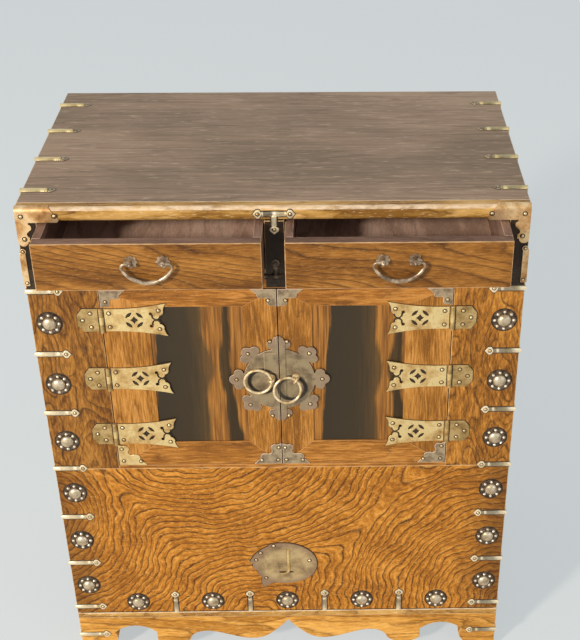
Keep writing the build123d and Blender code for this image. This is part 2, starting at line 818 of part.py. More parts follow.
def tee_bracket(level, stem, direction):
    """A T of narrow bars with spade ends: two arms along a rail and a stem down or up the divider."""
    arm = leg(tee_arm)
    tee = front_plane() * Pos(0, level) * arm
    tee += front_plane() * Pos(0, level) * Rot(0, 0, 180) * arm
    tee += front_plane() * Pos(0, level) * Rot(0, 0, 90 * direction) * leg(stem)
    return tee


parts["tee_brackets"] = [
    tee_bracket(height - tee_below_top, top_tee_stem, -1),
    tee_bracket(rail_top - foot_tee_below_rail, foot_tee_stem, 1),
]


def edge_strip():
    """An angle strip on the outer edge of a post, with a small leaf at its head."""
    span = (rail_bottom + edge_strip_above_rail_foot, height - edge_strip_top)
    strip = board((half - edge_strip_width, half + metal_thickness), (front - metal_thickness, front), span)
    strip += board((half, half + metal_thickness), (front - metal_thickness, front + edge_strip_width), span)
    return strip + sheet(Pos(half - edge_strip_width / 2 - 0.5, span[1] + 2) * Circle(3.2), metal_thickness)


parts["post_edge_strips"] = both_sides(edge_strip())


# ---------------------------------------------------------------- fish plate
def fish_point(along, up):
    """A place on the fish plate, from the middle of its body, as shares of the plate's length."""
    return along * fish_length, up * fish_length


def fish_outline():
    """The fish-shaped plate, nose to the left, drawn about the middle of its body."""
    nose = fish_point(-0.538, 0.07)
    brow = fish_point(-0.257, 0.363)
    fin = fish_point(-0.246, 0.392)
    back_line = [(0.012, 0.421), (0.246, 0.351), (0.421, 0.187), (0.462, 0), (0.398, -0.187), (0.246, -0.304)]
    belly = fish_point(-0.187, -0.345)
    tail = fish_point(-0.345, -0.433)
    tail_root = fish_point(-0.363, -0.234)
    gill = fish_point(-0.439, -0.094)
    lip = fish_point(-0.497, 0.023)
    return outline(
        ThreePointArc(nose, fish_point(-0.421, 0.246), brow),
        Line(brow, fin),
        Spline(fin, *[fish_point(*place) for place in back_line], fish_point(0.047, -0.357), belly),
        Spline(belly, fish_point(-0.263, -0.386), tail),
        ThreePointArc(tail, fish_point(-0.374, -0.339), tail_root),
        ThreePointArc(tail_root, fish_point(-0.427, -0.158), gill),
        ThreePointArc(gill, fish_point(-0.497, -0.041), lip),
        Line(lip, nose),
    )


fish_level = floor_level + fish_height_above_floor
bar_x = fish_length * 0.035
bar_foot = fish_level - fish_length * 0.094
bar_head = fish_level + fish_length * 0.304
panel_left = -fish_length * 0.187
panel_right = bar_x - fish_bar_radius
raised_panel = box_outline((panel_left, panel_right), (bar_foot, bar_head + fish_bar_radius / 2))
slot = Pos(0, fish_level - fish_length * 0.14) * Rectangle(fish_length * 0.21, fish_length * 0.03)
fish_plate = sheet(Pos(0, fish_level) * fish_outline(), fish_thickness)
fish_plate += sheet(raised_panel, fish_thickness + fish_panel_thickness)
fish_plate -= sheet(slot, fish_thickness)
bar_plane = Plane(origin=(bar_x, front - fish_thickness, bar_foot), z_dir=(0, 0, 1))
outer_side = Pos(0, -fish_bar_radius) * Rectangle(4 * fish_bar_radius, 2 * fish_bar_radius)
fish_bar = extrude(bar_plane * (Circle(fish_bar_radius) & outer_side), bar_head - bar_foot)


def toe_point(along, down):
    """A place on the curled foot of the bar, from the foot's middle, in radii of the bar."""
    return bar_x + along * fish_bar_radius, bar_foot - down * fish_bar_radius


toe = outline(
    Line(toe_point(-1, 0), toe_point(1, 0)),
    ThreePointArc(toe_point(1, 0), toe_point(-0.5, 2.25), toe_point(-4.5, 2.75)),
    Line(toe_point(-4.5, 2.75), toe_point(-4.5, 2)),
    ThreePointArc(toe_point(-4.5, 2), toe_point(-1.75, 1.6), toe_point(-1, 0)),
)
fish_bar += sheet(toe, fish_bar_radius * 0.8, fish_thickness)
parts["fish_plate"] = [fish_plate]
parts["fish_bar"] = [fish_bar]


# ---------------------------------------------------------------- STEP files
os.makedirs("parts", exist_ok=True)
for name, solids in parts.items():
    shape = solids[0] if len(solids) == 1 else Compound(children=list(solids))
    export_step(shape, "parts/" + name + ".step")
print(len(parts), "nodes")
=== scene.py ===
# %% [markdown]
# # Dressing a Korean chest
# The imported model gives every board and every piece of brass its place. This lesson softens the boards,
# shapes the small brass that a maker would cast or cut by hand, and gives each surface the finish of the
# real material: elm with dark growth lines, persimmon with black heartwood, worn yellow brass, greyed
# antique brass and browned bronze. Lengths are in millimetres here, and turned to metres as meshes are made.

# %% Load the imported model
import json
from math import cos, pi, radians, sin

import bmesh
import bpy
from mathutils import Matrix, Vector

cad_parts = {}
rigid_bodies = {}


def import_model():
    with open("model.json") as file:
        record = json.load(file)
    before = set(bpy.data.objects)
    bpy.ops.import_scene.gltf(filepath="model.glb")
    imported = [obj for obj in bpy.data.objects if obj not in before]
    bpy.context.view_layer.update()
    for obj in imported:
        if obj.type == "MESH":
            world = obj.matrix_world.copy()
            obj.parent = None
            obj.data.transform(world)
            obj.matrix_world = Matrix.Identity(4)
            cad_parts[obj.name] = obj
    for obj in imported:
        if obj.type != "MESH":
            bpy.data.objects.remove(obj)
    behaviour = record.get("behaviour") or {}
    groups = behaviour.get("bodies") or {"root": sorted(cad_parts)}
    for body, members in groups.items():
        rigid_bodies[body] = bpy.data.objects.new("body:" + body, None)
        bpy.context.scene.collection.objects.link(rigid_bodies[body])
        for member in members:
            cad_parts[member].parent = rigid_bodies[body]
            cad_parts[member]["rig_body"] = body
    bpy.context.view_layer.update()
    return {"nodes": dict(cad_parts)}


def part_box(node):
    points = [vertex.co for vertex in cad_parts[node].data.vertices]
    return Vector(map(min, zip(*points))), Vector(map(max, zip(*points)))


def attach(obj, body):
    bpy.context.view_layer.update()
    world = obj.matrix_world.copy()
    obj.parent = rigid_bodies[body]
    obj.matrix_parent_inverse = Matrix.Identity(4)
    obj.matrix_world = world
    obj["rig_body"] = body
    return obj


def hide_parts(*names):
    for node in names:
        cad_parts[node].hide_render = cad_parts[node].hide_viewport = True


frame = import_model()

# %% [markdown]
# ## Camera
# The camera stands above and in front of the chest and looks down at it, a little from the right. Its
# three axes are written as a matrix. The shift moves the frame over the view without turning the camera, so
# upright edges keep their slant.

# %% Place the camera
def new_object(name, data):
    """An object of this data, linked to the scene."""
    made = bpy.data.objects.new(name, data)
    bpy.context.scene.collection.objects.link(made)
    return made


camera_place = Vector((0.0594, -1.3929, 1.2366))
camera_right = Vector((0.99979762, -0.01995108, 0.00258236))
camera_down = Vector((-0.00884193, -0.55109073, -0.83439849))
camera_look = Vector((0.01807027, 0.83420679, -0.5511556))
camera_data = bpy.data.cameras.new("camera")
camera_data.sensor_width = 36
camera_data.lens = 71.01
camera_data.shift_x = -0.0998
camera_data.shift_y = 0.1000
camera = new_object("camera", camera_data)
axes = Matrix((camera_right, -camera_down, -camera_look)).transposed()
camera.matrix_world = Matrix.Translation(camera_place) @ axes.to_4x4()
bpy.context.scene.camera = camera
print("camera at", tuple(round(value, 3) for value in camera_place))

# %% [markdown]
# ## Colours and nodes
# Colours are written as they look on a screen, and light adds up in linear numbers, so one function turns a
# hex code into those. Materials are made of nodes. One more function adds any node with its settings and
# its links, so that a material reads as a list of steps.

# %% Helpers for materials
MM = 0.001


def colour(code):
    """A hex colour as linear red, green, blue and alpha."""
    parts = [int(code[place:place + 2], 16) / 255 for place in (1, 3, 5)]
    linear = [part / 12.92 if part <= 0.04045 else ((part + 0.055) / 1.055) ** 2.4 for part in parts]
    return (*linear, 1.0)


def fill(tree, pairs):
    """Gives each socket its value. A hex code is a colour, and the output of another node is a link."""
    for socket, value in pairs:
        if isinstance(value, bpy.types.NodeSocket):
            tree.links.new(value, socket)
        else:
            socket.default_value = colour(value) if isinstance(value, str) else value


def add(tree, kind, *values, stops=(), out=None, **settings):
    """Adds a node and returns its first output, or the one named by out.

    Kind is the node's type, and after a dot its operation. Values fill the node's visible sockets in order,
    or by name from a dictionary. Stops are the places and tones of a colour ramp.
    """
    kind, _, operation = kind.partition(".")
    node = tree.nodes.new("ShaderNode" + kind)
    if operation:
        node.operation = operation
    for name, value in settings.items():
        setattr(node, name, value)
    for spare in stops[2:]:
        node.color_ramp.elements.new(spare[0])
    for place, (position, tone) in enumerate(stops):
        element = node.color_ramp.elements[place]
        element.position = position
        element.color = colour(tone) if isinstance(tone, str) else (tone, tone, tone, 1)
    if values and isinstance(values[0], dict):
        fill(tree, [(node.inputs[name], value) for name, value in values[0].items()])
    else:
        fill(tree, zip([socket for socket in node.inputs if socket.enabled], values))
    outputs = [socket for socket in node.outputs if socket.enabled and out in (None, socket.name)]
    return outputs[0] if outputs else None


def new_material(name):
    """An empty material with a Principled shader on its output."""
    material = bpy.data.materials.new(name)
    material.use_nodes = True
    tree = material.node_tree
    tree.nodes.clear()
    surface = add(tree, "BsdfPrincipled")
    add(tree, "OutputMaterial", surface)
    return material, tree, surface.node


def coat(surface, values):
    """Fills the shader's sockets by name."""
    fill(surface.id_data, [(surface.inputs[name], value) for name, value in values.items()])


def report(kind, *starts):
    """Prints how many materials have names that start so."""
    print(kind, "materials:", sum(one.name.startswith(starts) for one in bpy.data.materials))


# %% [markdown]
# ## Elm
# Zelkova elm is ring porous: each year starts with a row of big open pores that reads as a thin dark line
# on golden wood. Where a saw cuts flat through the rings, the lines become contours, arches and loops. The
# material makes a smooth height field, counts it in rings and darkens one edge of each ring. Short strokes
# of pale and dark wood run along the grain, and worn edges are paler.

# %% Grain and figure
TURN = {"X": (0, 0, 0), "Z": (0, radians(90), 0), "Y": (0, 0, radians(-90))}


def grain_space(tree, along, seed=(0, 0, 0)):
    """Object coordinates in millimetres, turned so that the grain runs along the first axis."""
    place = add(tree, "TexCoord", out="Object")
    return add(tree, "Mapping", {"Vector": place, "Location": seed, "Rotation": TURN[along],
                                 "Scale": (1000, 1000, 1000)})


def cloud(tree, space, size, detail, roughness=0.5):
    """Noise whose features are size millimetres long, wide and thick."""
    scaled = add(tree, "Mapping", {"Vector": space, "Scale": tuple(1 / length for length in size)})
    return add(tree, "TexNoise", {"Vector": scaled, "Scale": 1.0, "Detail": detail, "Roughness": roughness})


def ring_field(tree, space, size, rings, slope):
    """A smooth field counted in rings. Slope tilts it along and across the board, in rings a millimetre."""
    swell = cloud(tree, space, size, 1.5, 0.4)
    along = add(tree, "SeparateXYZ", space, out="X")
    across = add(tree, "SeparateXYZ", space, out="Z")
    field = add(tree, "Math.MULTIPLY", swell, rings)
    field = add(tree, "Math.MULTIPLY_ADD", along, slope[0], field)
    return add(tree, "Math.MULTIPLY_ADD", across, slope[1], field)


# %% [markdown]
# The finish lays the colours over each other: a slow drift from brown to pale wood, the strokes, the dark
# ring lines, pale flecks and the rubbed edges. An old oil finish on open pores is only half as shiny as
# varnish, so its specular level is low and its roughness about a half. The values of a MapRange node are
# its input, the two ends of the range it comes from, and the two that they become.

# %% Elm finish
NOISE_MIDDLE = 0.47


def finish_elm(tree, surface, space, field, strokes, tones, line=0.8, stroke=0.55, waver=0.35, fleck=0.0,
               fleck_size=(7, 1.2, 1.2), rubbed="#d9b583", roughness=0.5, drift_size=(110, 30, 30), fade=0.35,
               blotch=1.0, calm=None, grime=None):
    """Colours a ring field as elm. Tones are pale, golden, brown, line and fleck.

    Fade is how far the ring lines weaken in places: 1 keeps them even. Blotch is the strength of the drift.
    Calm is a socket that weakens the lines where it is under 1, and grime one that browns the wood above 0.
    """
    pale, golden, brown, dark, spark = tones
    drift = cloud(tree, space, drift_size, 3.0)
    drift = add(tree, "Math.MULTIPLY_ADD", drift, blotch, NOISE_MIDDLE * (1 - blotch))
    ripple = cloud(tree, space, (15, 8, 8), 3.0, 0.55)
    moved = add(tree, "Math.MULTIPLY_ADD", ripple, waver, field)
    year = add(tree, "Math.FRACT", moved)
    late = add(tree, "Math.MULTIPLY_ADD", year, -0.16, drift)
    centred = add(tree, "Math.SUBTRACT", strokes, 0.5)
    tone = add(tree, "Math.MULTIPLY_ADD", centred, stroke, late)
    shade = add(tree, "ValToRGB", tone, stops=[(0.24, brown), (0.44, golden), (0.64, pale)])
    ring = add(tree, "ValToRGB", year, stops=[
        (0.0, 1.0), (0.04, 0.7), (0.12, 0.2), (0.25, 0.0), (0.84, 0.0), (0.93, 0.6), (0.98, 1.0),
    ])
    patchy = add(tree, "MapRange", cloud(tree, space, (55, 20, 20), 2.0), 0.32, 0.58, fade * line, line)
    drawn = add(tree, "Math.MULTIPLY", ring, patchy)
    if calm is not None:
        drawn = add(tree, "Math.MULTIPLY", drawn, calm)
    spots = add(tree, "MapRange", cloud(tree, space, fleck_size, 2.0, 0.6), 0.6, 0.7, 0, fleck)
    worn = add(tree, "Attribute", out="Fac", attribute_name="wear")
    rub = add(tree, "MapRange", cloud(tree, space, (16, 6, 6), 4.0, 0.6), 0.34, 0.6, 0.25, 1)
    rub = add(tree, "Math.MULTIPLY", worn, rub)
    for share, cover in ((drawn, dark), (spots, spark), (grime, dark), (rub, rubbed)):
        if share is not None:
            shade = add(tree, "Mix", share, shade, cover, data_type="RGBA")
    gloss = add(tree, "Math.MULTIPLY_ADD", centred, -0.25, roughness)
    relief = add(tree, "Math.MULTIPLY_ADD", drawn, -0.8, strokes)
    bump = add(tree, "Bump", {"Strength": 0.45, "Distance": 0.25 * MM, "Height": relief})
    coat(surface, {"Base Color": shade, "Roughness": gloss, "Normal": bump, "IOR": 1.5,
                   "Specular IOR Level": 0.32})


def elm(name, tones, along, size, rings, slope=(0.0, 0.0), seed=(0, 0, 0), stroke_size=(13, 1.7, 1.7),
        **looks):
    """An elm material whose rings are size millimetres broad and whose strokes follow the board."""
    material, tree, surface = new_material(name)
    space = grain_space(tree, along, seed)
    field = ring_field(tree, space, size, rings, slope)
    strokes = cloud(tree, space, stroke_size, 4.0, 0.62)
    finish_elm(tree, surface, space, field, strokes, tones, **looks)
    return material


# %% [markdown]
# Every board is oiled elm and keeps its own age. The drawers are brown-gold with lines that fall to the
# right, the door frames orange-gold, and the rail of the top is rubbed bright, a paleness that also paints
# the highlight on its rounded front. The posts and the divider are painted near black: painted shade for
# the slots they stand in beside the open drawers. The sides have aged brown, the base's sides are golden,
# and the apron is the palest gold. Strokes are drawn 1.5 to 2 mm wide, about twice as coarse as real pores,
# because finer ones don't show.

# %% Elm boards
# The front rail's pale tones are partly wear and partly a painted highlight
elm_rail_worn_and_highlit = elm("elm_rail_wear_and_painted_highlight", ("#ecc07a", "#c99a50", "#8d6228", "#65400f", "#f6dfb8"), "X",
               (200, 24, 24), 7, seed=(40, 13, 7), line=0.5, fleck=0.6, rubbed="#f3ddc2")
elm_drawer = elm("elm_oiled_drawer_front", ("#b17a35", "#8d5b1f", "#683e0d", "#402206", "#cfa56a"), "X",
                 (260, 60, 60), 8, (0.022, 0.06), (500, 60, 30), line=0.75, stroke=0.8, fleck=0.25,
                 rubbed="#d3ad84")
elm_door_rail = elm("elm_oiled_door_rail", ("#c78b42", "#a86d26", "#825014", "#5e370c", "#e8bd96"), "X",
                    (180, 26, 26), 6, seed=(300, 5, 90), stroke_size=(20, 1.8, 1.8), line=0.42, stroke=1.2,
                    fleck=0.15, fleck_size=(2.6, 1.8, 1.8), rubbed="#cf9a62", blotch=0.75)
elm_door_stile = elm("elm_oiled_door_stile", ("#c98f48", "#a97127", "#825114", "#633b0e", "#e8bd96"), "Z",
                     (240, 26, 26), 6, seed=(90, 5, 130), stroke_size=(24, 1.7, 1.7), line=0.36, stroke=1.3,
                     fleck=0.15, fleck_size=(2.6, 1.8, 1.8), rubbed="#c38a52")
# The two stiles beside the doors are cut from one board. The right copy is painted lighter and the left one
# darker: painted light and shade that evens out the key lamp's fall-off across the front.
elm_stiles_painted_light = {
    side: elm("elm_stile_painted_light_" + side, tones, "Z", (105, 40, 40), 13, seed=(31, 9, 60),
              stroke_size=(9, 2, 2), line=0.85, stroke=0.95, waver=0.45, fleck=0.3, blotch=0.5)
    for side, tones in (("left", ("#b98138", "#8f5d1f", "#62390b", "#3a1f04", "#cc9c5e")),
                        ("right", ("#d3953f", "#a86d23", "#73460e", "#452505", "#e2b06c")))
}
# Posts and divider: elm painted near black, painted shade for the slots beside the open drawers
elm_post_painted_shade = elm("elm_painted_shade_post", ("#3f2a15", "#2c1b0b", "#1d1106", "#120a03", "#5a4228"), "Z", (200, 40, 40),
               8, seed=(11, 90, 10), line=0.6)
elm_apron = elm("elm_oiled_apron", ("#f6bd62", "#d3953d", "#a0691d", "#653c0c", "#f6d59a"), "X",
                (150, 30, 30), 8, seed=(70, 31, 77), line=0.65, stroke=0.7, fleck=0.5)
elm_side = elm("elm_aged_side", ("#a37843", "#7c5526", "#583812", "#352008", "#b99a6c"), "Z", (300, 60, 60),
               12, seed=(210, 0, 0), line=0.7)
elm_base = elm("elm_oiled_base_side", ("#cf9344", "#a86f28", "#7b4a12", "#532f08", "#dfb477"), "Y",
               (200, 40, 40), 8, seed=(70, 31, 7), line=0.6)
report("elm", "elm")

# %% [markdown]
# The top has lost its oil: sun and dust have turned it grey-brown. Its strokes are long, straight and
# faint, and 3 mm wide where real ones are under 1. The insides are paulownia, a soft wood that browns with
# age and was never oiled, so it is dull. The drawers' floors are the same wood in paler tones: painted
# light, where light falls into the open drawers.

# %% Weathered top and inner boards
elm_top = elm("elm_weathered_top", ("#b9a28d", "#a68d7a", "#8b7966", "#6c5b4a", "#e0ccb6"), "X",
              (420, 26, 26), 6, seed=(100, 20, 300), stroke_size=(60, 3.4, 3.4), line=0.3, stroke=0.55,
              fleck=0.55, fleck_size=(22, 1.9, 1.9), rubbed="#d8c4ac", roughness=0.62,
              drift_size=(240, 130, 130))
INNER = ("#a08070", "#86685a", "#694f43", "#4a362c", "#b79c8c")
# The drawers' floors get paler tones than the other insides: painted light falling into the open drawers
PAINTED_LIGHT_FLOOR = ("#fbdcc9", "#e6c0ac", "#c09c89", "#8b6a58", "#fff0e2")
bare_wood = {"size": (300, 50, 50), "rings": 6, "line": 0.3, "fleck": 0.3, "roughness": 0.68}
inner_x = elm("paulownia_inner_board", INNER, "X", **bare_wood)
inner_y = elm("paulownia_drawer_side", INNER, "Y", rubbed="#c9ad9c", **bare_wood)
drawer_floor_painted_light = elm("paulownia_floor_painted_light", PAINTED_LIGHT_FLOOR, "Y", **bare_wood)
report("paulownia", "paulownia")

# %% [markdown]
# ## The figured lower front
# This wide board is cut flat through the rings, so its lines are the contours of a landscape. Three hills
# make it: bowls that hang from the top edge, bends round a hill at the left edge, and arcs round a hill
# beyond the lower right corner. The smooth minimum of the distances to them is the height, and one ring is
# 8.5 mm of it. The strokes read the height too, so they follow the lines round every bend. Left of the
# middle the cut runs level with a ring, and the lines are faint there. At the two ends old dirt between the
# bosses has browned the wood.

# %% Contoured elm
# Each hill's centre, and how much each direction counts in the distance to it
HILLS = [
    ((-110, 0, 345), (0.8, 0.0, 1.1)),
    ((-292, 0, 236), (1.1, 0.0, 0.85)),
    ((275, 0, 84), (1.0, 0.0, 0.9)),
]
HILL_BLEND = 40.0
RING_HEIGHT, STROKE_LENGTH, STROKES_A_RING = 8.5, 8.0, 3.3
# The middle of the faint place, and how far from it the lines are faintest and full
QUIET, QUIET_REACH = (-125, 0, 162), (30.0, 85.0)
# How far from the chest's middle the brown of the ends starts and is full
GRIME_REACH = (248.0, 296.0)


def height_above(tree, place):
    """The smooth minimum of the weighed distances to the hills, in millimetres."""
    lowest = None
    for centre, weight in HILLS:
        offset = add(tree, "VectorMath.SUBTRACT", place, centre)
        weighed = add(tree, "VectorMath.MULTIPLY", offset, weight)
        height = add(tree, "VectorMath.LENGTH", weighed)
        if lowest is None:
            lowest = height
        else:
            lowest = add(tree, "Math.SMOOTH_MIN", lowest, height, HILL_BLEND)
    return lowest


def contoured_elm(name, tones):
    """Elm whose ring lines are the contours of the hills."""
    material, tree, surface = new_material(name)
    space = grain_space(tree, "X")
    warp = add(tree, "TexNoise", {"Vector": space, "Scale": 0.017, "Detail": 2.5, "Roughness": 0.5},
               out="Color")
    bent = add(tree, "VectorMath.SUBTRACT", warp, (0.5, 0.5, 0.5))
    bent = add(tree, "VectorMath.MULTIPLY", bent, (40, 0, 32))
    place = add(tree, "VectorMath.ADD", space, bent)
    field = add(tree, "Math.DIVIDE", height_above(tree, place), RING_HEIGHT)
    parts = add(tree, "SeparateXYZ", space).node.outputs
    along, upward = (add(tree, "Math.DIVIDE", parts[axis], STROKE_LENGTH) for axis in "XZ")
    across = add(tree, "Math.MULTIPLY", field, STROKES_A_RING)
    followed = add(tree, "CombineXYZ", along, across, upward)
    strokes = add(tree, "TexNoise", {"Vector": followed, "Scale": 1.0, "Detail": 3.0, "Roughness": 0.6})
    from_quiet = add(tree, "VectorMath.DISTANCE", place, QUIET, out="Value")
    calm = add(tree, "MapRange", from_quiet, *QUIET_REACH, 0.25, 1, interpolation_type="SMOOTHSTEP")
    outward = add(tree, "Math.ABSOLUTE", parts["X"])
    uneven = cloud(tree, space, (30, 30, 30), 3.0)
    outward = add(tree, "Math.MULTIPLY_ADD", uneven, 60.0, outward)
    grime = add(tree, "MapRange", outward, *GRIME_REACH, 0, 0.6)
    finish_elm(tree, surface, space, field, strokes, tones, line=1.0, stroke=1.0, waver=0.28, fleck=0.45,
               fleck_size=(4, 1.5, 1.5), drift_size=(60, 40, 40), fade=0.65, blotch=0.45,
               calm=calm, grime=grime)
    return material


elm_contour = contoured_elm("elm_contour_figured", ("#e29f45", "#bd7b24", "#915710", "#442202", "#eebf76"))
print("hills under the contours:", len(HILLS))

# %% [markdown]
# ## Persimmon
# The door panels are black-hearted persimmon. Its heartwood runs through golden wood as dark streaks with
# sharp edges: a broad dark band, a gold lens that narrows to nothing at half its height and opens again
# below, and a thin dark streak. Both panels are cut from one board, so they show the same figure, the right
# one a little further along. The wood is dense and polished, so it is a little glossier than the elm.

# %% Persimmon material
PANEL_WIDTH = 105.4
PANEL_FOOT, PANEL_HEAD = 348, 533.5


def past(tree, value, edge, low, high):
    """How far a value has passed an edge, from 0 at low to 1 at high beyond it."""
    beyond = add(tree, "Math.SUBTRACT", value, edge)
    return add(tree, "MapRange", beyond, low, high)


def persimmon(name, left_edge, shift):
    """The panel's streaks: left_edge is its left side in millimetres, and shift moves the figure along."""
    material, tree, surface = new_material(name)
    space = grain_space(tree, "Z")
    streaks = cloud(tree, space, (70, 2.4, 2.4), 4.0, 0.6)
    parts = add(tree, "SeparateXYZ", add(tree, "TexCoord", out="Object")).node.outputs
    across = add(tree, "MapRange", parts["X"], left_edge * MM, (left_edge + PANEL_WIDTH) * MM,
                 -shift, 1 - shift, clamp=False)
    # Long clouds sway the streaks, and short narrow ones fray their edges
    for size, reach in (((60, 26, 26), 0.045), ((34, 3, 3), 0.035)):
        bend = add(tree, "MapRange", cloud(tree, space, size, 3.0), 0, 1, -reach, reach)
        across = add(tree, "Math", across, bend)
    up = add(tree, "MapRange", parts["Z"], PANEL_FOOT * MM, PANEL_HEAD * MM)
    off_waist = add(tree, "Math.ABSOLUTE", add(tree, "Math.SUBTRACT", up, 0.56))
    waist = add(tree, "MapRange", off_waist, 0, 0.26, 1, 0, interpolation_type="SMOOTHSTEP")
    foot = add(tree, "MapRange", up, 0.45, 0, interpolation_type="SMOOTHSTEP")
    # The heart's edge, the dark streak's two sides and the sapwood's edge, as shares of the panel's width
    heart = add(tree, "Math.MULTIPLY_ADD", foot, 0.035, 0.565)
    heart = add(tree, "Math.MULTIPLY_ADD", waist, 0.09, heart)
    near = add(tree, "Math.MULTIPLY_ADD", waist, -0.065, 0.775)
    far = add(tree, "Math.MULTIPLY_ADD", foot, 0.08, 0.855)
    sap = add(tree, "Math.MULTIPLY_ADD", up, 0.09, -0.02)
    gold = past(tree, across, heart, -0.035, 0.015)
    past_near = past(tree, across, near, -0.02, 0.01)
    before_far = past(tree, far, across, -0.01, 0.02)
    streak = add(tree, "Math.MULTIPLY", past_near, before_far)
    gold = add(tree, "Math.SUBTRACT", gold, streak, use_clamp=True)
    gold = add(tree, "Math.MAXIMUM", gold, past(tree, sap, across, -0.005, 0.015))
    depth = add(tree, "Math.MULTIPLY_ADD", streaks, 0.34, across)
    dark = add(tree, "ValToRGB", depth, stops=[
        (0.2, "#32291b"), (0.55, "#382d1c"), (0.68, "#4a381f"),
        (0.78, "#634722"), (0.9, "#4a3619"), (1.0, "#35260f"),
    ])
    bright = add(tree, "ValToRGB", streaks, stops=[(0.34, "#694216"), (0.48, "#8f5e26"), (0.62, "#b07934")])
    shade = add(tree, "Mix", gold, dark, bright, data_type="RGBA")
    bump = add(tree, "Bump", {"Strength": 0.3, "Distance": 0.2 * MM, "Height": streaks})
    coat(surface, {"Base Color": shade, "Normal": bump, "Roughness": 0.45, "IOR": 1.5,
                   "Specular IOR Level": 0.35})
    return material


persimmon_left = persimmon("persimmon_left", -144, 0.0)
persimmon_right = persimmon("persimmon_right", 38.6, 0.125)
report("persimmon", "persimmon")

# %% [markdown]
# ## Brass and bronze
# A metal's colour is the colour of its reflections, and patina dulls them in patches. Hammering leaves it
# slightly uneven, which bends the reflections. One function makes all the brasses and bronzes.

# %% Metal finish
# The tone of the painted shadow that each ring throws on the lock plate
RING_SHADOW_TONE = "#22180f"
# Half the width of a band of painted shadow, where it fades out and where it is full
SHADOW_BAND_EDGE = (3.0, 1.6)


def metal(name, bright, mid, patina, patch, clean, roughness, rubbed=None, dents=0.2, bare=0.75, painted_shadows=(),
          rim=None):
    """A worked metal with patches of patina patch millimetres wide; clean is the share that stays bright.

    Bare is the metallic share. Patina is a mineral that scatters light, so a greyed plate has less of it.
    The marks are painted shadow: the centres, as (x, z), and radii of round dark bands, in millimetres. Rim
    is a plate's centre, half its width, half its height and the tone that its outer part has browned to.
    """
    material, tree, surface = new_material(name)
    space = grain_space(tree, "X")
    stain = cloud(tree, space, (patch, patch, patch), 4.0, 0.6)
    fine = cloud(tree, space, (2.2, 2.2, 2.2), 3.0, 0.6)
    low = 0.5 - 0.3 * clean
    shade = add(tree, "ValToRGB", stain,
                stops=[(low - 0.06, patina), (low + 0.1, mid), (low + 0.26, bright)])
    layers = [(add(tree, "MapRange", fine, 0.42, 0.28, 0, 0.5), patina)]
    if rim:
        x, z, half_width, half_height, tone = rim
        offset = add(tree, "VectorMath.SUBTRACT", space, (x, 0, z))
        share = add(tree, "VectorMath.MULTIPLY", offset, (1 / half_width, 0, 1 / half_height))
        outward = add(tree, "VectorMath.LENGTH", share, out="Value")
        layers.append((add(tree, "MapRange", outward, 0.7, 0.96, 0, 0.75), tone))
    # Each band is painted shadow, laid where a ring's shadow falls on the plate
    for x, z, radius in painted_shadows:
        flat = add(tree, "VectorMath.MULTIPLY", space, (1, 0, 1))
        away = add(tree, "VectorMath.DISTANCE", flat, (x, 0, z), out="Value")
        off_shadow_band = add(tree, "Math.SUBTRACT", away, radius)
        off_shadow_band = add(tree, "Math.ABSOLUTE", off_shadow_band)
        layers.append((add(tree, "MapRange", off_shadow_band, *SHADOW_BAND_EDGE, 0, 0.92), RING_SHADOW_TONE))
    worn = add(tree, "Attribute", out="Fac", attribute_name="wear")
    layers.append((add(tree, "Math.MULTIPLY", worn, 0.75), rubbed or bright))
    for share, cover in layers:
        shade = add(tree, "Mix", share, shade, cover, data_type="RGBA")
    gloss = add(tree, "MapRange", stain, 0.3, 0.7, roughness + 0.14, roughness - 0.02)
    relief = add(tree, "Math.MULTIPLY_ADD", fine, 0.4, stain)
    bump = add(tree, "Bump", {"Strength": dents, "Distance": 0.2 * MM, "Height": relief})
    coat(surface, {"Base Color": shade, "Roughness": gloss, "Normal": bump, "Metallic": bare})
    return material


# %% [markdown]
# Each metal's three tones are its bright, its dulled and its patinated colour. Patina patches are as wide
# as a finger rubs, 3 to 16 mm. Fine spots of 2 mm stand for pitting, which is really finer but wouldn't
# show. The outer parts of the lock plate and the fish have browned, because cloths reach only the middle.

# %% Brasses and bronzes
LOCK_LEVEL, LOCK_REACH = 437.0, 54
FISH_LEVEL = 155
# Rolled yellow brass on the hinges, rubbed by hands: a warm shine. The fixed leaves are rubbed less.
brass_bright = metal("brass_rubbed_yellow", "#f2d99e", "#d6b276", "#957545", 16, 0.65, 0.36)
brass_leaf = metal("brass_leaf_dull", "#d0b37c", "#ad8f5b", "#785c34", 12, 0.55, 0.38, "#f0d9a2")
# Cast yellow brass on the straps, scoured with ash: pale and soft on the front, golden on the top.
brass_strap = metal("brass_strap_pale", "#f2e3c4", "#e0cca2", "#a58d60", 12, 0.8, 0.42, dents=0.1, bare=0.4)
brass_top = metal("brass_strap_golden", "#eed8a2", "#d6bb80", "#a08450", 12, 0.75, 0.4, dents=0.1, bare=0.5)
# Sheet brass on the corner brackets and edge strips, with more copper in it: a redder gold.
brass_bracket = metal("brass_bracket_golden", "#f0cfa0", "#cfa06a", "#94683c", 16, 0.6, 0.36)
# Sheet brass that has greyed under old patina: the plates look dull, and only filed edges shine.
brass_antique = metal("brass_antique_grey", "#ab9a7e", "#8a7860", "#655440", 9, 0.6, 0.36, "#f6dcc6",
                      bare=0.25)
# The same on the fish plate, greener, with its edges darkened.
brass_fish = metal("brass_antique_green", "#c9b183", "#a9916a", "#7d6849", 16, 0.6, 0.36, "#5b3f2c", bare=0.4,
                   rim=(0, FISH_LEVEL, 43, 34, "#8e7363"))
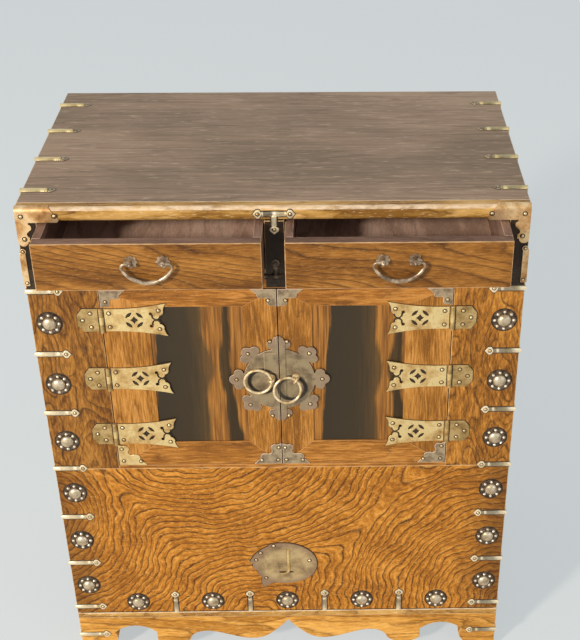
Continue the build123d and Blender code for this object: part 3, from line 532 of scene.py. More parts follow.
# Drawn and turned brass, worn smooth: bright highlights on the rings and on the small nail heads.
brass_ring = metal("brass_ring_worn", "#f6e2bc", "#d3b480", "#6f5330", 7, 0.6, 0.26, dents=0.1, bare=0.4)
nail_brass = metal("brass_nail_head", "#f0dab0", "#caa976", "#7d6240", 3, 0.6, 0.3, dents=0.1)
# Cast white bronze, browned: dark flowers, with rubbed domes and polished beads that catch the light.
bronze_plate = metal("bronze_boss_plate", "#7d6a58", "#584a3e", "#33291f", 5, 0.4, 0.42, bare=0.6)
bronze_dome = metal("bronze_rubbed_dome", "#d8c8ae", "#b3a184", "#7a684d", 8, 0.65, 0.34, dents=0.12)
bronze_bead = metal("bronze_bead_polished", "#f4ebdc", "#d8cab4", "#94826a", 3, 0.6, 0.24, dents=0.05)
# The drawer handles, rubbed to the grey of pewter.
bronze_handle = metal("bronze_handle_pewter", "#cdb99f", "#967f69", "#574433", 9, 0.5, 0.26, dents=0.1,
                      bare=0.6)
# Painted shadow: a dark band on the lock plate beside each ring, low on the right of it, where its shadow
# falls.
RIGHT_OF_RING, UNDER_RING, SHADOW_RADIUS = 5.2, 3.6, 15.5
ring_painted_shadows = []
for node in ("ring_left", "ring_right"):
    low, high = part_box(node)
    ring_painted_shadows.append(((low[0] + high[0]) / 2 / MM + RIGHT_OF_RING,
                       (low[2] + high[2]) / 2 / MM - UNDER_RING, SHADOW_RADIUS))
# Thick greyed brass, low in shine, so that the rings' shadows and the painted shadow beside them stay
# visible.
brass_lock = metal("brass_lock_plate_grey", "#9c8b6c", "#7f6e55", "#5f4f3b", 13, 0.6, 0.34, "#e6cdb6",
                   bare=0.25, painted_shadows=ring_painted_shadows, rim=(0, LOCK_LEVEL, LOCK_REACH, LOCK_REACH, "#9b836f"))
report("metal", "brass", "bronze")

# %% [markdown]
# ## Mesh helpers
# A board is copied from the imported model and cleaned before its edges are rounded. Only outward edges are
# rounded, as a plane or a hand rounds them. The new faces carry a number named wear, which the materials
# read to make edges paler.

# %% Copies and edges
def copy_of(node):
    """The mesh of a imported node, its doubles merged and its flat faces joined."""
    mesh = bmesh.new()
    mesh.from_mesh(frame["nodes"][node].data)
    bmesh.ops.remove_doubles(mesh, verts=mesh.verts, dist=0.001 * MM)
    bmesh.ops.dissolve_limit(mesh, angle_limit=radians(1), verts=mesh.verts, edges=mesh.edges)
    return mesh


def wear_of(mesh):
    """The layer of face numbers that says how worn each face is."""
    return mesh.faces.layers.float.get("wear") or mesh.faces.layers.float.new("wear")


def bevel(mesh, edges, width):
    """Rounds edges by width millimetres, and returns the new faces."""
    return bmesh.ops.bevel(mesh, geom=edges, offset=width * MM, offset_type="OFFSET", affect="EDGES",
                           segments=2, profile=0.5, material=-1, clamp_overlap=True)["faces"]


def soften(mesh, width, sharp=30, spare=(0.0, 0.0)):
    """Rounds the outward edges by width millimetres, and marks the new faces as worn.

    Edges that reach between the two X values of spare, in millimetres, stay sharp.
    """
    layer = wear_of(mesh)
    edges = [edge for edge in mesh.edges
             if edge.is_manifold and edge.calc_face_angle_signed() > radians(sharp)
             and not any(spare[0] < vert.co.x / MM < spare[1] for vert in edge.verts)]
    for face in bevel(mesh, edges, width):
        face[layer] = 1.0


# %% Helpers for parts of a mesh
def faces_of(verts):
    """The faces that touch any of these vertices."""
    return {face for vert in verts for face in vert.link_faces}


def by_kind(parts):
    """The vertices, the edges and the faces of a mixed list, in three lists."""
    kinds = (bmesh.types.BMVert, bmesh.types.BMEdge, bmesh.types.BMFace)
    return [[part for part in parts if isinstance(part, kind) and part.is_valid] for kind in kinds]


def extrude(mesh, faces, shift, keep=True):
    """Extrudes faces by a shift in millimetres, and returns the new vertices, edges and faces."""
    grown = by_kind(bmesh.ops.extrude_face_region(mesh, geom=faces, use_keep_orig=keep)["geom"])
    bmesh.ops.translate(mesh, vec=[length * MM for length in shift], verts=grown[0])
    return grown


def cut_away(mesh, verts, place, normal):
    """Cuts the shape of these vertices at a plane, drops what lies beyond it and closes the cut."""
    edges = {edge for vert in verts for edge in vert.link_edges}
    cut = bmesh.ops.bisect_plane(mesh, geom=[*verts, *edges, *faces_of(verts)], plane_co=Vector(place) * MM,
                                 plane_no=normal, clear_outer=True, dist=0.0001 * MM)
    bmesh.ops.edgeloop_fill(mesh, edges=by_kind(cut["geom_cut"])[1])
    return by_kind(cut["geom"])[0]


# %% [markdown]
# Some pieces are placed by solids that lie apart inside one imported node, so one helper finds their boxes.
# Another turns a finished mesh into an object that rides on its body. Weighted normals keep the flats of a
# board or plate evenly shaded up to its rounded edges.

# %% Solids that lie apart
def islands(node):
    """The lowest and highest corner, in millimetres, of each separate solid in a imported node."""
    mesh = copy_of(node)
    left = set(mesh.verts)
    found = []
    while left:
        search = [left.pop()]
        group = []
        while search:
            vert = search.pop()
            group.append(vert.co / MM)
            near = {edge.other_vert(vert) for edge in vert.link_edges} & left
            left -= near
            search.extend(near)
        low = Vector(min(point[axis] for point in group) for axis in range(3))
        high = Vector(max(point[axis] for point in group) for axis in range(3))
        found.append((low, high))
    mesh.free()
    return sorted(found, key=lambda pair: tuple(round(value, 1) for value in pair[0]))


print("hinge pins:", len(islands("hinge_pins")))

# %% From mesh to piece
SHARP_ANGLE = radians(40)


def body_of(node):
    """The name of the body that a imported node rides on."""
    return frame["nodes"][node]["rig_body"]


def as_template(mesh):
    """Keeps a bmesh as mesh data, to be stamped many times."""
    data = bpy.data.meshes.new("template")
    mesh.to_mesh(data)
    mesh.free()
    return data


def piece(name, mesh, body, materials, slot, *nodes, weighted=False):
    """Turns a bmesh into an object that rides on a body and stands for the named nodes."""
    data = bpy.data.meshes.new(name)
    mesh.to_mesh(data)
    mesh.free()
    data.polygons.foreach_set("use_smooth", [True] * len(data.polygons))
    data.set_sharp_from_angle(angle=SHARP_ANGLE)
    for material in materials if isinstance(materials, list) else [materials]:
        data.materials.append(material)
    made = new_object(name, data)
    if weighted:
        made.modifiers.new("even shading", "WEIGHTED_NORMAL").keep_sharp = True
    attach(made, body)
    if nodes:
        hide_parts(*nodes)


# %% [markdown]
# Small shapes are drawn lying on the XY plane and then placed on a face of the chest. A matrix does both the
# turn and the shift.

# %% Helpers for shapes that stand on a face
SIDES = (("left", -1), ("right", 1))
ALONG, FRONT, UP = (1, 0, 0), (0, -1, 0), (0, 0, 1)
face_y = -170.0


def basis(origin, along, up):
    """A matrix that puts a shape drawn on X, with Z up, at a place in millimetres."""
    x, z = Vector(along), Vector(up)
    turned = Matrix((x, z.cross(x), z)).transposed().to_4x4()
    return Matrix.Translation(Vector(origin) * MM) @ turned


def on_front(x, level, along=ALONG, proud=0.0):
    """A matrix that stands a shape on the chest's front, proud millimetres from the wood."""
    return basis((x, face_y - proud, level), along, FRONT)


def paint(verts, material):
    """Gives the faces of these vertices a material by its number."""
    for face in faces_of(verts):
        face.material_index = material


def disc(mesh, matrix, radius, height, around=12, material=0):
    """A low round plate with its rim tapered, standing on the matrix's XY plane."""
    verts = bmesh.ops.create_cone(mesh, cap_ends=True, segments=around, radius1=radius * MM,
                                  radius2=radius * 0.86 * MM, depth=height * MM)["verts"]
    paint(verts, material)
    bmesh.ops.transform(mesh, matrix=matrix @ Matrix.Translation((0, 0, height / 2 * MM)), verts=verts)


# %% [markdown]
# ## Boards
# Hand-planed boards have edges rounded by half a millimetre to a millimetre. Each board is copied from the
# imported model, rounded, and given the finish whose grain runs along it.

# %% Soften the boards
boards = {
    "top_panel": (elm_top, 0.8, "dark_elm"),
    "side_left": (elm_side, 1.0, "dark_elm"),
    "side_right": (elm_side, 1.0, "dark_elm"),
    "back_panel": (inner_x, 0.8, "inner_board"),
    "drawer_shelf": (inner_x, 0.5, "inner_board"),
    "drawer_rail": (elm_door_rail, 0.8, "golden_elm"),
    "drawer_divider": (elm_post_painted_shade, 0.8, "dark_elm"),
    "front_posts": (elm_post_painted_shade, 0.8, "dark_elm"),
    "drawer_guides": (inner_y, 0.5, "inner_board"),
    "stile_left": (elm_stiles_painted_light["left"], 0.7, "dark_elm"),
    "stile_right": (elm_stiles_painted_light["right"], 0.7, "dark_elm"),
    "door_sill": (elm_door_rail, 0.7, "golden_elm"),
    "lower_front_panel": (elm_contour, 0.7, "golden_elm"),
    "base_front_apron": (elm_apron, 0.9, "golden_elm"),
    "base_side_left": (elm_base, 0.9, "golden_elm"),
    "base_side_right": (elm_base, 0.9, "golden_elm"),
    "base_back_rail": (elm_apron, 0.9, "golden_elm"),
}
for side in ("left", "right"):
    boards["door_stile_meeting_" + side] = (elm_door_stile, 0.4, "golden_elm")
    boards["door_stile_hinge_" + side] = (elm_door_stile, 0.4, "golden_elm")
    boards["door_rails_" + side] = (elm_door_rail, 0.4, "golden_elm")
    boards["drawer_front_" + side] = (elm_drawer, 0.9, "golden_elm")
    boards["drawer_bottom_" + side] = (drawer_floor_painted_light, 0.3, "inner_board")
    panel = persimmon_left if side == "left" else persimmon_right
    boards["door_panel_" + side] = (panel, 0.4, "figured_panel")
for node, (finish, width, slot) in boards.items():
    mesh = copy_of(node)
    soften(mesh, width)
    finishes = [finish, inner_x]
    if node.startswith("drawer_front"):
        for face in mesh.faces:
            face.material_index = 1 if face.normal.z > 0.9 else 0
    piece(node + "_board", mesh, body_of(node), finishes[:2 if finish is elm_drawer else 1], slot, node,
          weighted=True)
print("boards:", len(boards))

# %% [markdown]
# Hands lean on the rounded front rail of the top, so its upper half is rubbed nearly white, and so is the
# lip of the bottom board. Their faces that look up and forward are marked as worn, and this paleness also
# paints the highlight that light puts on these rounded edges. The box of a drawer is three planks that meet
# in butt joints. Each is a closed shape of its own, so that its edges show where they meet.

# %% Worn front rail and drawer boxes
for node in ("top_front_rail", "bottom_board"):
    mesh = copy_of(node)
    soften(mesh, 0.8)
    for face in mesh.faces:
        # Worn faces, and a painted highlight where light strikes the rounded front
        if face.normal.z > 0.3 and face.normal.y < -0.2:
            face[wear_of(mesh)] = 0.9
    piece(node + "_board", mesh, body_of(node), elm_rail_worn_and_highlit, "golden_elm", node, weighted=True)


def plank(mesh, low, high):
    """A box between two corners in metres. Returns its vertices."""
    size = [upper - lower for lower, upper in zip(low, high)]
    middle = [(upper + lower) / 2 for lower, upper in zip(low, high)]
    place = Matrix.Translation(middle) @ Matrix.Diagonal((*size, 1))
    return bmesh.ops.create_cube(mesh, size=1, matrix=place)["verts"]


wall, rear = 9 * MM, 8 * MM
for side in ("left", "right"):
    node = "drawer_box_" + side
    low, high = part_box(node)
    mesh = bmesh.new()
    plank(mesh, low, (low[0] + wall, high[1], high[2]))
    plank(mesh, (high[0] - wall, low[1], low[2]), high)
    plank(mesh, (low[0] + wall, high[1] - rear, low[2]), (high[0] - wall, high[1], high[2]))
    soften(mesh, 0.5)
    piece(node + "_planks", mesh, body_of(node), inner_y, "inner_board", node, weighted=True)
print("drawer boxes built")

# %% [markdown]
# ## Plates of sheet brass
# Hinges, brackets and corner plates are cut from sheet and filed, so their edges catch the light. The lock
# plate is thicker and more rubbed. The step of its lap strip, 7.5 mm from the gap, stays sharp. One corner
# plate has kept its yellow.

# %% File the plates' edges
LAP_STEP = (6.5, 8.5)
plates = {
    "post_edge_strips": (brass_bracket, 0.3, "bright_brass"),
    "hinge_leaves_left": (brass_leaf, 0.3, "bright_brass"),
    "hinge_leaves_right": (brass_leaf, 0.3, "bright_brass"),
    "hinge_pins": (brass_bright, 0.2, "bright_brass"),
    "fish_plate": (brass_fish, 0.45, "antique_brass"),
    "fish_bar": (brass_bright, 0.2, "antique_brass"),
}
for side in ("left", "right"):
    plates["hinge_straps_" + side] = (brass_bright, 0.3, "bright_brass")
    plates["door_corners_" + side] = (brass_antique, 0.45, "antique_brass")
    plates["lock_plate_" + side] = (brass_lock, 0.6, "antique_brass")
for node, (finish, width, slot) in plates.items():
    mesh = copy_of(node)
    soften(mesh, width, sharp=40, spare=LAP_STEP if node == "lock_plate_right" else (0, 0))
    for face in mesh.faces:
        middle = face.calc_center_median() / MM
        if node == "door_corners_left" and middle.x < -100 and middle.z < 400:
            face.material_index = 1
    finishes = [finish, brass_bright] if node == "door_corners_left" else finish
    piece(node + "_plate", mesh, body_of(node), finishes, slot, node, weighted=True)
print("plates:", len(plates))

# %% [markdown]
# A corner bracket is one sheet, folded over the rounded rail. Its arm ends in a point that is cut by two
# planes through the tip, and so each of the two brackets is cut by itself. Their lean is how far the planes
# rise for each millimetre along the arm.

# %% Pointed corner brackets
TIP_X, TIP_LEVEL, TIP_LEAN = 228.4, 641.5, 0.75
brackets = bmesh.new()
for turn in (-1, 1):
    mesh = copy_of("corner_brackets")
    others = [vert for vert in mesh.verts if vert.co.x * turn < 0]
    bmesh.ops.delete(mesh, geom=others, context="VERTS")
    for lean in (TIP_LEAN, -TIP_LEAN):
        cut_away(mesh, mesh.verts, (turn * TIP_X, 0, TIP_LEVEL), Vector((-turn, 0, lean)).normalized())
    soften(mesh, 0.3, sharp=40)
    brackets.from_mesh(as_template(mesh))
piece("corner_brackets_plate", brackets, "cabinet", brass_bracket, "bright_brass", "corner_brackets",
      weighted=True)
print("bracket tips cut at", TIP_X, TIP_LEVEL)

# %% [markdown]
# ## Rings, eyes and handles
# These are round all over already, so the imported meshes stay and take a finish.

# %% Finish the round metal
for side in ("left", "right"):
    for node, finish in (("ring_" + side, brass_ring), ("ring_eye_" + side, brass_ring),
                         ("handle_posts_" + side, bronze_handle), ("bail_" + side, bronze_handle)):
        data = frame["nodes"][node].data
        data.materials.clear()
        data.materials.append(finish)
print("rings and handles finished")

# %% [markdown]
# ## Old wax and painted shadow round the plates
# Wax and dust gather in the corner where a plate meets the wood, and darken into a line, and the same dark
# line paints the shadow that the plate throws on the wood. It also fills the pierced coins and curls with
# painted shade. So the line is the outline of the plate's foot with its holes closed, grown by a little under
# a millimetre and an eighth of a millimetre thick. Outlines smaller than 150 square millimetres are holes.
# On a door the line stops short of the gaps beside it. The wax is dull and nearly black.

# %% Old wax
# This dark material is wax and dust, and also painted shade: the shadows of plates, nails, straps and bosses
wax_and_painted_shade, dark_sheet_tree, dark_sheet_surface = new_material("wax_dust_and_painted_shade")
dark_sheet_cloud = cloud(dark_sheet_tree, grain_space(dark_sheet_tree, "X"), (3, 3, 3), 3.0)
dark_sheet_tone = add(dark_sheet_tree, "ValToRGB", dark_sheet_cloud, stops=[(0.35, "#1a1208"), (0.65, "#3d2b14")])
coat(dark_sheet_surface, {"Base Color": dark_sheet_tone, "Roughness": 0.7})
DARK_SHEET_THICKNESS = 0.12
SMALLEST_FOOT = 150 * MM * MM
DOOR_SPAN = (0.7 * MM, 204.2 * MM)


def wax_and_shadow_line(node, reach, discs=()):
    """A thin dark sheet of wax and painted shadow, reach millimetres larger than a plate. Discs are (x, z,
    radius).
    """
    mesh = copy_of(node)
    above = [face for face in mesh.faces
             if face.normal.y < 0.9 or abs(face.calc_center_median().y / MM - face_y) > 0.1]
    bmesh.ops.delete(mesh, geom=above, context="FACES")
    inner = [edge for edge in mesh.edges if not edge.is_boundary]
    bmesh.ops.delete(mesh, geom=inner, context="EDGES_FACES")
    bmesh.ops.edgeloop_fill(mesh, edges=mesh.edges[:])
    holes = [face for face in mesh.faces if face.calc_area() < SMALLEST_FOOT]
    bmesh.ops.delete(mesh, geom=holes, context="FACES")
    for face in mesh.faces:
        xs = [vert.co.x for vert in face.verts]
        zs = [vert.co.z for vert in face.verts]
        middle = Vector(((min(xs) + max(xs)) / 2, 0, (min(zs) + max(zs)) / 2))
        grow = (1 + 2 * reach * MM / (max(xs) - min(xs)), 1, 1 + 2 * reach * MM / (max(zs) - min(zs)))
        bmesh.ops.scale(mesh, vec=grow, space=Matrix.Translation(-middle), verts=face.verts[:])
    for vert in mesh.verts:
        size = min(max(abs(vert.co.x), DOOR_SPAN[0]), DOOR_SPAN[1])
        if body_of(node) != "cabinet":
            vert.co.x = size if vert.co.x > 0 else -size
    extrude(mesh, mesh.faces[:], (0, -DARK_SHEET_THICKNESS, 0))
    bmesh.ops.recalc_face_normals(mesh, faces=mesh.faces)
    for x, z, radius in discs:
        disc(mesh, on_front(x, z), radius, DARK_SHEET_THICKNESS, around=20)
    piece("wax_" + node, mesh, body_of(node), wax_and_painted_shade, "antique_brass")


# Where the curls of a hinge strap are from its pin, along it and each way across, and how large they are
# Discs of the dark sheet fill the curls: painted shade in their pierced channels
CURL_ALONG, CURL_ACROSS, CURL_RADIUS = 61.2, 4.8, 5.2
hinges = [((low.x + high.x) / 2, (low.z + high.z) / 2) for low, high in islands("hinge_pins")]
for side, turn in SIDES:
    curls = [(x - turn * CURL_ALONG, z + rise, CURL_RADIUS) for x, z in hinges if x * turn > 0
             for rise in (-CURL_ACROSS, CURL_ACROSS)]
    for node, reach, discs in (("hinge_leaves_", 0.8, ()), ("hinge_straps_", 0.8, curls),
                               ("door_corners_", 0.6, ()), ("lock_plate_", 0.7, ())):
        wax_and_shadow_line(node + side, reach, discs)
wax_and_shadow_line("fish_plate", 0.9)
print("wax lines drawn for hinges at", [round(x, 1) for x, z in hinges])

# %% [markdown]
# A dark strip a millimetre wide beside the barrel of each hinge paints the shadow that the barrel throws.
# Dirt stays along the joint over the bottom board, in a strip a millimetre wide, and dark sheets on the rail
# beside the drawers paint the shade there.

# %% Painted shadow beside the barrels
PLATE = 1.2
# The strip's two edges, from the pin's centre
BARREL_STRIP = (2.65, 3.7)
for side, turn in SIDES:
    for name, body, away in (("leaf", "cabinet", turn), ("strap", "door_" + side, -turn)):
        mesh = bmesh.new()
        for low, high in islands("hinge_pins"):
            pin = (low.x + high.x) / 2
            if pin * turn > 0:
                near, far = sorted(pin + away * edge for edge in BARREL_STRIP)
                plank(mesh, Vector((near, face_y - PLATE - 0.1, low.z + 1)) * MM,
                      Vector((far, face_y - PLATE, high.z - 1)) * MM)
        piece("painted_shadow_barrel_" + name + "_" + side, mesh, body, wax_and_painted_shade, "antique_brass")
print("hinges with dirt beside their pins:", len(hinges))

# %% Wax over the bottom board, and painted shade beside the drawers
seam = bmesh.new()
low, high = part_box("bottom_board")
plank(seam, (low[0] + 4 * MM, (face_y - DARK_SHEET_THICKNESS) * MM, high[2]),
      (high[0] - 4 * MM, face_y * MM, high[2] + 1.1 * MM))
piece("wax_over_bottom_board", seam, "cabinet", wax_and_painted_shade, "antique_brass")
painted_shade = bmesh.new()
low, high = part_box("drawer_rail")
# Painted shade under the divider, and from the drawers' outer ends to the posts
for left, right in ((-11, 11), (-274, -258), (258, 274)):
    plank(painted_shade, (left * MM, low[1] - DARK_SHEET_THICKNESS * MM, low[2] + 1.0 * MM), (right * MM, low[1], high[2] + 1.2 * MM))
piece("painted_shade_beside_drawers", painted_shade, "cabinet", wax_and_painted_shade, "antique_brass")
print("drawer rail:", [tuple(round(value, 4) for value in corner) for corner in (low, high)])

# %% [markdown]
# ## Domed nails
# Every plate is held by small brass nails with domed heads. A dome is the top of a sphere, flattened, and it
# stands on a thin ring of the same old wax, half as wide again, which also paints the shade round the head.
# Nails lie alike on the left and right.

# %% Domes and nails
WAX_AND_SHADE_RING, WAX_AND_SHADE_RING_HEIGHT = 1.5, 0.14


def dome(mesh, matrix, radius, height, material, around=12, rows=8):
    """A domed head, radius wide and height high, standing on the matrix's XY plane."""
    verts = bmesh.ops.create_uvsphere(mesh, u_segments=around, v_segments=rows, radius=radius * MM)["verts"]
    verts = cut_away(mesh, verts, (0, 0, 0), (0, 0, -1))
    paint(verts, material)
    bmesh.ops.transform(mesh, matrix=matrix @ Matrix.Diagonal((1, 1, height / radius, 1)), verts=verts)


def nail(mesh, matrix, radius, metal=0, painted_shade=1, rise=0.66):
    """A nail's domed head on its ring of old wax and painted shade; rise is its height as a share of its
    radius.
    """
    disc(mesh, matrix, radius * WAX_AND_SHADE_RING, WAX_AND_SHADE_RING_HEIGHT, material=painted_shade)
    dome(mesh, matrix, radius, radius * rise, metal)


# %% Nails of the hinges
def front_nails(name, body, places, turns=(1,), proud=PLATE, radius=1.9):
    """Nails on a plate on the chest's front. Places are x and height, and a turn of -1 mirrors them."""
    mesh = bmesh.new()
    for turn in turns:
        for x, level in places:
            nail(mesh, on_front(turn * x, level, proud=proud), radius)
    piece(name, mesh, body, [nail_brass, wax_and_painted_shade], "bright_brass")
    print(name, len(turns) * len(places))


hinge_levels = [(low.z + high.z) / 2 for low, high in islands("hinge_leaves_right")]
leaf_nails = [(208.3, 8.8), (208.3, -8.8), (217.4, 0.0)]
strap_nails = [(187.6, 8.8), (187.6, -8.8), (132.2, 12.0), (132.2, -12.0)]
for side, turn in SIDES:
    for name, body, nails in (("leaf", "cabinet", leaf_nails), ("strap", "door_" + side, strap_nails)):
        front_nails(name + "_nails_" + side, body,
                    [(x, level + rise) for level in hinge_levels for x, rise in nails], [turn])

# %% [markdown]
# The corner plates of the doors have a nail in each lobe. The lock plate has one near the tip of each of its
# eight lobes, and two in the lobes that meet the other door.

# %% Nails of the doors
corner_nails = [(191.5, 339.0), (190.5, 321.0), (170.0, 320.5), (190.0, 541.0),
                (3.8, 339.0), (5.0, 321.0), (24.6, 320.6), (9.6, 541.5)]
lobe_radius, lock_plate = 49.5, 1.5
lobe_nails = [(lobe_radius * sin(radians(angle)), LOCK_LEVEL + lobe_radius * cos(radians(angle)))
              for angle in (45, 90, 135)]
lobe_nails += [(9.6, LOCK_LEVEL + 51.0), (9.6, LOCK_LEVEL - 51.0)]
for side, turn in SIDES:
    front_nails("corner_nails_" + side, "door_" + side, corner_nails, [turn], radius=1.8)
    front_nails("lock_nails_" + side, "door_" + side, lobe_nails, [turn], lock_plate, 1.8)

# %% Nails of the frame and the fish
bracket_nails = [(268.5, 645.5), (233.0, 646.0), (267.5, 619.0)]
strip_nails = [(271.8, 604.0), (272.2, 565.5)]
fish_nails = [(-15.1, 185.0), (-32.0, 173.5), (-38.0, 162.0), (-26.0, 131.5), (30.0, 160.0)]
front_nails("bracket_nails", "cabinet", bracket_nails, (-1, 1), radius=2.0)
front_nails("strip_nails", "cabinet", strip_nails, (-1, 1), radius=1.6)
front_nails("fish_nails", "cabinet", fish_nails, proud=1.4)

# %% [markdown]
# ## Straps
# A strap is cast: a half-round bar, a narrow neck and a spade-shaped leaf that takes the nail. One leg is
# shaped along X by extruding a disc from station to station, and cut flat underneath. Two legs with their
# corner cut at 45 degrees make a strap that folds round the edge of the chest. A leg is shaped once, kept as
# a template and stamped at each place.

# %% Stamps, rods and leaves
def stamp(mesh, template, matrix):
    """Adds a copy of a template mesh, placed by a matrix."""
    before = len(mesh.verts)
    mesh.from_mesh(template)
    mesh.verts.ensure_lookup_table()
    bmesh.ops.transform(mesh, matrix=matrix, verts=mesh.verts[before:])


def rod(mesh, stations):
    """A closed rod along X through stations of (x, radius). Returns its vertices."""
    x, radius = stations[0]
    verts = bmesh.ops.create_circle(mesh, cap_ends=True, segments=14, radius=radius * MM)["verts"]
    bmesh.ops.transform(mesh, matrix=basis((x, 0, 0), (0, 0, -1), ALONG), verts=verts)
    made = list(verts)
    caps = verts[0].link_faces[:]
    for (x0, r0), (x1, r1) in zip(stations, stations[1:]):
        ring, _, caps = extrude(mesh, caps[:1], (x1 - x0, 0, 0), keep=False)
        bmesh.ops.scale(mesh, vec=(1, r1 / r0, r1 / r0), verts=ring)
        made += ring
    bmesh.ops.recalc_face_normals(mesh, faces=list(faces_of(made)))
    return made


def leaf(mesh, start, length, width, thickness, material, rounded=0.4):
    """A spade-shaped leaf along X on the XY plane, its upper edge rounded."""
    half = width / 2
    # Points of the outline: how far along the leaf, and how far out as a share of half its width
    points = [(0.0, 0.26), (0.2, 0.4), (0.33, 0.9), (0.5, 1.0), (0.67, 0.88), (0.84, 0.4), (1.0, 0.0)]
    outline = points + [(share, -side) for share, side in reversed(points[:-1])]
    verts = [mesh.verts.new(((start + share * length) * MM, side * half * MM, 0)) for share, side in outline]
    base = mesh.faces.new(reversed(verts))
    top, rim, _ = extrude(mesh, [base], (0, 0, thickness))
    bmesh.ops.recalc_face_normals(mesh, faces=list(faces_of(verts + top)))
    paint(verts + top, material)
    if rounded:
        bevel(mesh, rim, rounded)


# %% One leg of a strap
SPADE_LENGTH, SPADE_WIDTH, SPADE_THICKNESS = 11.0, 10.4, 0.95
BAR_HEIGHT = 2.0
STRAP_NAIL = 1.8


def leg(length, mitred=True, half=3.0, leaf_metal=0):
    """A strap's leg along X: bar half millimetres each way, leaf, nail, wax and painted shadow under them."""
    mesh = bmesh.new()
    end = length - SPADE_LENGTH
    # Places along the bar, and how much narrower it is there: it has a neck and a bead before the leaf
    stations = [(-2.0 if mitred else 0.0, 0), (end - 8, 0.05), (end - 3, 0.3), (end - 1.2, 0.15),
                (end + 0.3, 0), (end + 1.2, 0.6), (end + 1.8, 1.5)]
    bar = rod(mesh, [(x, half - narrower) for x, narrower in stations])
    bmesh.ops.scale(mesh, vec=(1, 1, BAR_HEIGHT / half), verts=bar)
    bar = cut_away(mesh, bar, (0, 0, 0), (0, 0, -1))
    if mitred:
        cut_away(mesh, bar, (0, 0, 0), Vector((-1, 0, -1)).normalized())
    leaf(mesh, end - 0.5, SPADE_LENGTH + 0.5, SPADE_WIDTH, SPADE_THICKNESS, leaf_metal)
    # The wax, which also paints the strap's shadow, reaches a millimetre beyond the metal. Under the bar it
    # is a hair thicker, so no faces coincide.
    leaf(mesh, end - 1.5, SPADE_LENGTH + 2.4, SPADE_WIDTH + 2, DARK_SHEET_THICKNESS, 2, rounded=0)
    start = 0.0 if mitred else -0.6
    reach = (half + 1.0) * MM
    strip = plank(mesh, (start * MM, -reach, 0), ((end + 1) * MM, reach, (DARK_SHEET_THICKNESS + 0.01) * MM))
    paint(strip, 2)
    nail(mesh, basis((length - 5.7, 0, 0.88), ALONG, UP), STRAP_NAIL, metal=1, painted_shade=2, rise=0.6)
    return as_template(mesh)


long_leg, short_leg, row_leg = leg(39.5), leg(30.0), leg(36.0, mitred=False)
fold = basis((0, 0, 0), (0, 0, -1), (-1, 0, 0))
strap_finish = [brass_strap, nail_brass, wax_and_painted_shade]
print("strap leg faces:", len(long_leg.polygons))

# %% Place the straps
EDGE_X, TOP_LEVEL = 275, 655


def folded_straps(name, node, legs, finish, on_top=False):
    """Straps that fold round the chest's side edges, from its front or its top to its sides."""
    mesh = bmesh.new()
    for low, high in islands(node):
        turn = 1 if low.x > 0 else -1
        place = on_front(turn * EDGE_X, (low.z + high.z) / 2, (-turn, 0, 0))
        if on_top:
            place = basis((turn * EDGE_X, (low.y + high.y) / 2, TOP_LEVEL), (-turn, 0, 0), UP)
        stamp(mesh, legs[0], place)
        stamp(mesh, legs[1], place @ fold)
    piece(name, mesh, "cabinet", finish, "bright_brass", node)


folded_straps("corner_straps", "straps_front_corners", (long_leg, short_leg), strap_finish)
# The straps on the top are broader, and their leaves have greyed where dust lies
wide_legs = [leg(length, half=4.2, leaf_metal=1) for length in (37.0, 30.0)]
folded_straps("top_straps", "straps_top", wide_legs, [brass_top, brass_antique, wax_and_painted_shade], on_top=True)
rows = bmesh.new()
for low, high in islands("straps_bottom_row"):
    stamp(rows, row_leg, on_front((low.x + high.x) / 2, low.z, UP))
piece("row_straps", rows, "cabinet", strap_finish, "bright_brass", "straps_bottom_row")
print("leg faces of a broad strap:", [len(one.polygons) for one in wide_legs])

# %% [markdown]
# The two T brackets are made of the same legs, two along a rail and one on the divider. The lower one sits
# deep between the drawers, in shade, and is given the dark bronze: painted shade.

# %% T brackets
ARM_MIDDLE = 4.3
tees = bmesh.new()
arm, upper_stem, lower_stem = leg(23.0, False), leg(24.0, False), leg(22.0, False)
for (low, high), upward in zip(sorted(islands("tee_brackets"), key=lambda pair: pair[0].z), (1, -1)):
    level = low.z + ARM_MIDDLE if upward > 0 else high.z - ARM_MIDDLE
    for direction in (1, -1):
        stamp(tees, arm, on_front(0, level, (direction, 0, 0)))
    stamp(tees, lower_stem if upward > 0 else upper_stem, on_front(0, level, (0, 0, upward)))
    # The lower tee takes the dark bronze of the boss plates: painted shade for the slot it sits in
    for face in tees.faces:
        if upward > 0 and face.material_index < 2:
            face.material_index += 3
tee_finish_with_painted_shade = [*strap_finish, bronze_plate, bronze_plate]
piece("tee_bars", tees, "cabinet", tee_finish_with_painted_shade, "bright_brass", "tee_brackets")
print("straps placed")

# %% [markdown]
# ## Bosses
# A boss is a dark flower of eight petals with a bright pin in each and a rubbed dome in the middle. The
# petals come from a circle whose radius swells eight times as it goes round.

# %% Shape one boss
def flower(mesh, radius, swell, petals, height):
    """A flower-shaped plate with a raised, rounded edge."""
    verts = bmesh.ops.create_circle(mesh, cap_ends=True, segments=64, radius=radius * MM)["verts"]
    for vert in verts:
        angle = vert.co.to_2d().angle_signed(Vector((1, 0)), 0.0)
        share = 1 + swell * abs(cos(angle * petals / 2))
        bmesh.ops.scale(mesh, vec=(share, share, 1), verts=[vert])
    top, _, caps = extrude(mesh, verts[0].link_faces[:], (0, 0, height))
    cap = caps[0]
    bmesh.ops.scale(mesh, vec=(0.95, 0.95, 1), verts=top)
    bmesh.ops.inset_region(mesh, faces=[cap], thickness=1.0 * MM, depth=0.0, use_even_offset=True)
    bmesh.ops.inset_region(mesh, faces=[cap], thickness=0.5 * MM, depth=-0.3 * MM, use_even_offset=True)
    bmesh.ops.recalc_face_normals(mesh, faces=mesh.faces)


PETALS = 8
BEAD_CIRCLE = 10.7


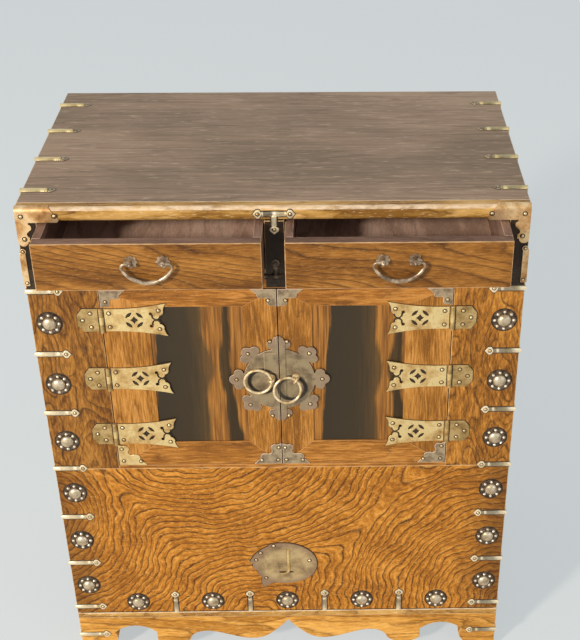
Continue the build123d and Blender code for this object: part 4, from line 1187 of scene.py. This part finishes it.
def boss_template():
    """The flower, the wax and painted shade under it, its beads, and the dome on its seat."""
    mesh = bmesh.new()
    flower(mesh, 12.9, 0.1, PETALS, 1.2)
    disc(mesh, Matrix.Identity(4), 15.0, 0.13, around=32, material=3)
    for bead in range(PETALS):
        angle = 2 * pi * bead / PETALS
        spot = Vector((BEAD_CIRCLE * cos(angle), BEAD_CIRCLE * sin(angle), 0.85))
        dome(mesh, Matrix.Translation(spot * MM), 2.0, 2.0, 2)
    disc(mesh, Matrix.Translation((0, 0, 0.75 * MM)), 8.1, 0.6, around=32)
    dome(mesh, Matrix.Translation((0, 0, 1.2 * MM)), 7.7, 4.4, 1, around=32, rows=16)
    return as_template(mesh)


boss = boss_template()
boss_finish = [bronze_plate, bronze_dome, bronze_bead, wax_and_painted_shade]
for name, node in (("side_bosses", "bosses_sides"), ("row_bosses", "bosses_bottom_row")):
    mesh = bmesh.new()
    for low, high in islands(node):
        stamp(mesh, boss, on_front((low.x + high.x) / 2, (low.z + high.z) / 2))
    piece(name, mesh, "cabinet", boss_finish, "dark_bronze", node)
print("boss faces:", len(boss.polygons))

# %% [markdown]
# ## Floor, light and background
# A plain sheet of matt paper is the floor and carries the shadow. The key light stands low at the left, so
# that it reaches into the open drawers and every plate throws a short shadow, and a weak fill stands at the
# right. Together with the sky they light the front at a level where a colour renders about as it is
# written. What the camera sees of paper and sky is lifted towards white without adding light.

# %% Floor
BACKDROP = "#e2eaed"
floor_mesh = bmesh.new()
bmesh.ops.create_grid(floor_mesh, x_segments=1, y_segments=1, size=30)
floor_data = bpy.data.meshes.new("studio_floor")
floor_mesh.to_mesh(floor_data)
floor_mesh.free()
floor = new_object("studio_floor", floor_data)
paper, paper_tree, paper_surface = new_material("studio_paper")
paper_grain = add(paper_tree, "TexNoise", {"Scale": 3.0, "Detail": 3.0})
paper_shade = add(paper_tree, "ValToRGB", paper_grain, stops=[(0.3, "#e3e8ea"), (0.7, "#eef2f3")])
coat(paper_surface, {"Base Color": paper_shade, "Roughness": 0.9})
seen_by_camera = add(paper_tree, "LightPath", out="Is Camera Ray")
lift = add(paper_tree, "Math.MULTIPLY", seen_by_camera, 0.6)
glow = add(paper_tree, "Emission", {"Color": BACKDROP, "Strength": 1.0})
lifted = add(paper_tree, "MixShader", lift, paper_surface.outputs["BSDF"], glow)
paper_tree.links.new(lifted, paper_tree.get_output_node("ALL").inputs["Surface"])
floor_data.materials.append(paper)
print("floor of", paper.name)

# %% Sky and lamps
world = bpy.data.worlds.new("studio")
bpy.context.scene.world = world
world.use_nodes = True
sky = world.node_tree
sky.nodes.clear()
rays = add(sky, "LightPath").node.outputs
seen = add(sky, "Math.MAXIMUM", rays["Is Camera Ray"], rays["Is Glossy Ray"])
seen = add(sky, "Math.MAXIMUM", seen, rays["Is Transmission Ray"])
ambient = add(sky, "Background", {"Color": "#fbf8f2", "Strength": 0.36})
backdrop = add(sky, "Background", {"Color": BACKDROP, "Strength": 0.95})
add(sky, "OutputWorld", add(sky, "MixShader", seen, ambient, backdrop))


def lamp(name, place, target, size, watts, tint):
    """A round area light that faces its target."""
    data = bpy.data.lights.new(name, "AREA")
    data.shape = "DISK"
    data.size = size
    data.energy = watts
    data.color = colour(tint)[:3]
    away = Vector(place) - Vector(target)
    turned = away.to_track_quat("Z", "Y").to_matrix().to_4x4()
    new_object(name, data).matrix_world = Matrix.Translation(place) @ turned


chest_middle = (0, 0, 0.35)
lamp("key", (-2.86, -3.55, 2.32), chest_middle, 0.5, 205, "#fff4e2")
lamp("fill", (2.4, -2.6, 1.4), chest_middle, 1.6, 12, "#f3f6ff")
bpy.context.scene.view_settings.view_transform = "Standard"
print("lamps:", len(bpy.data.lights))
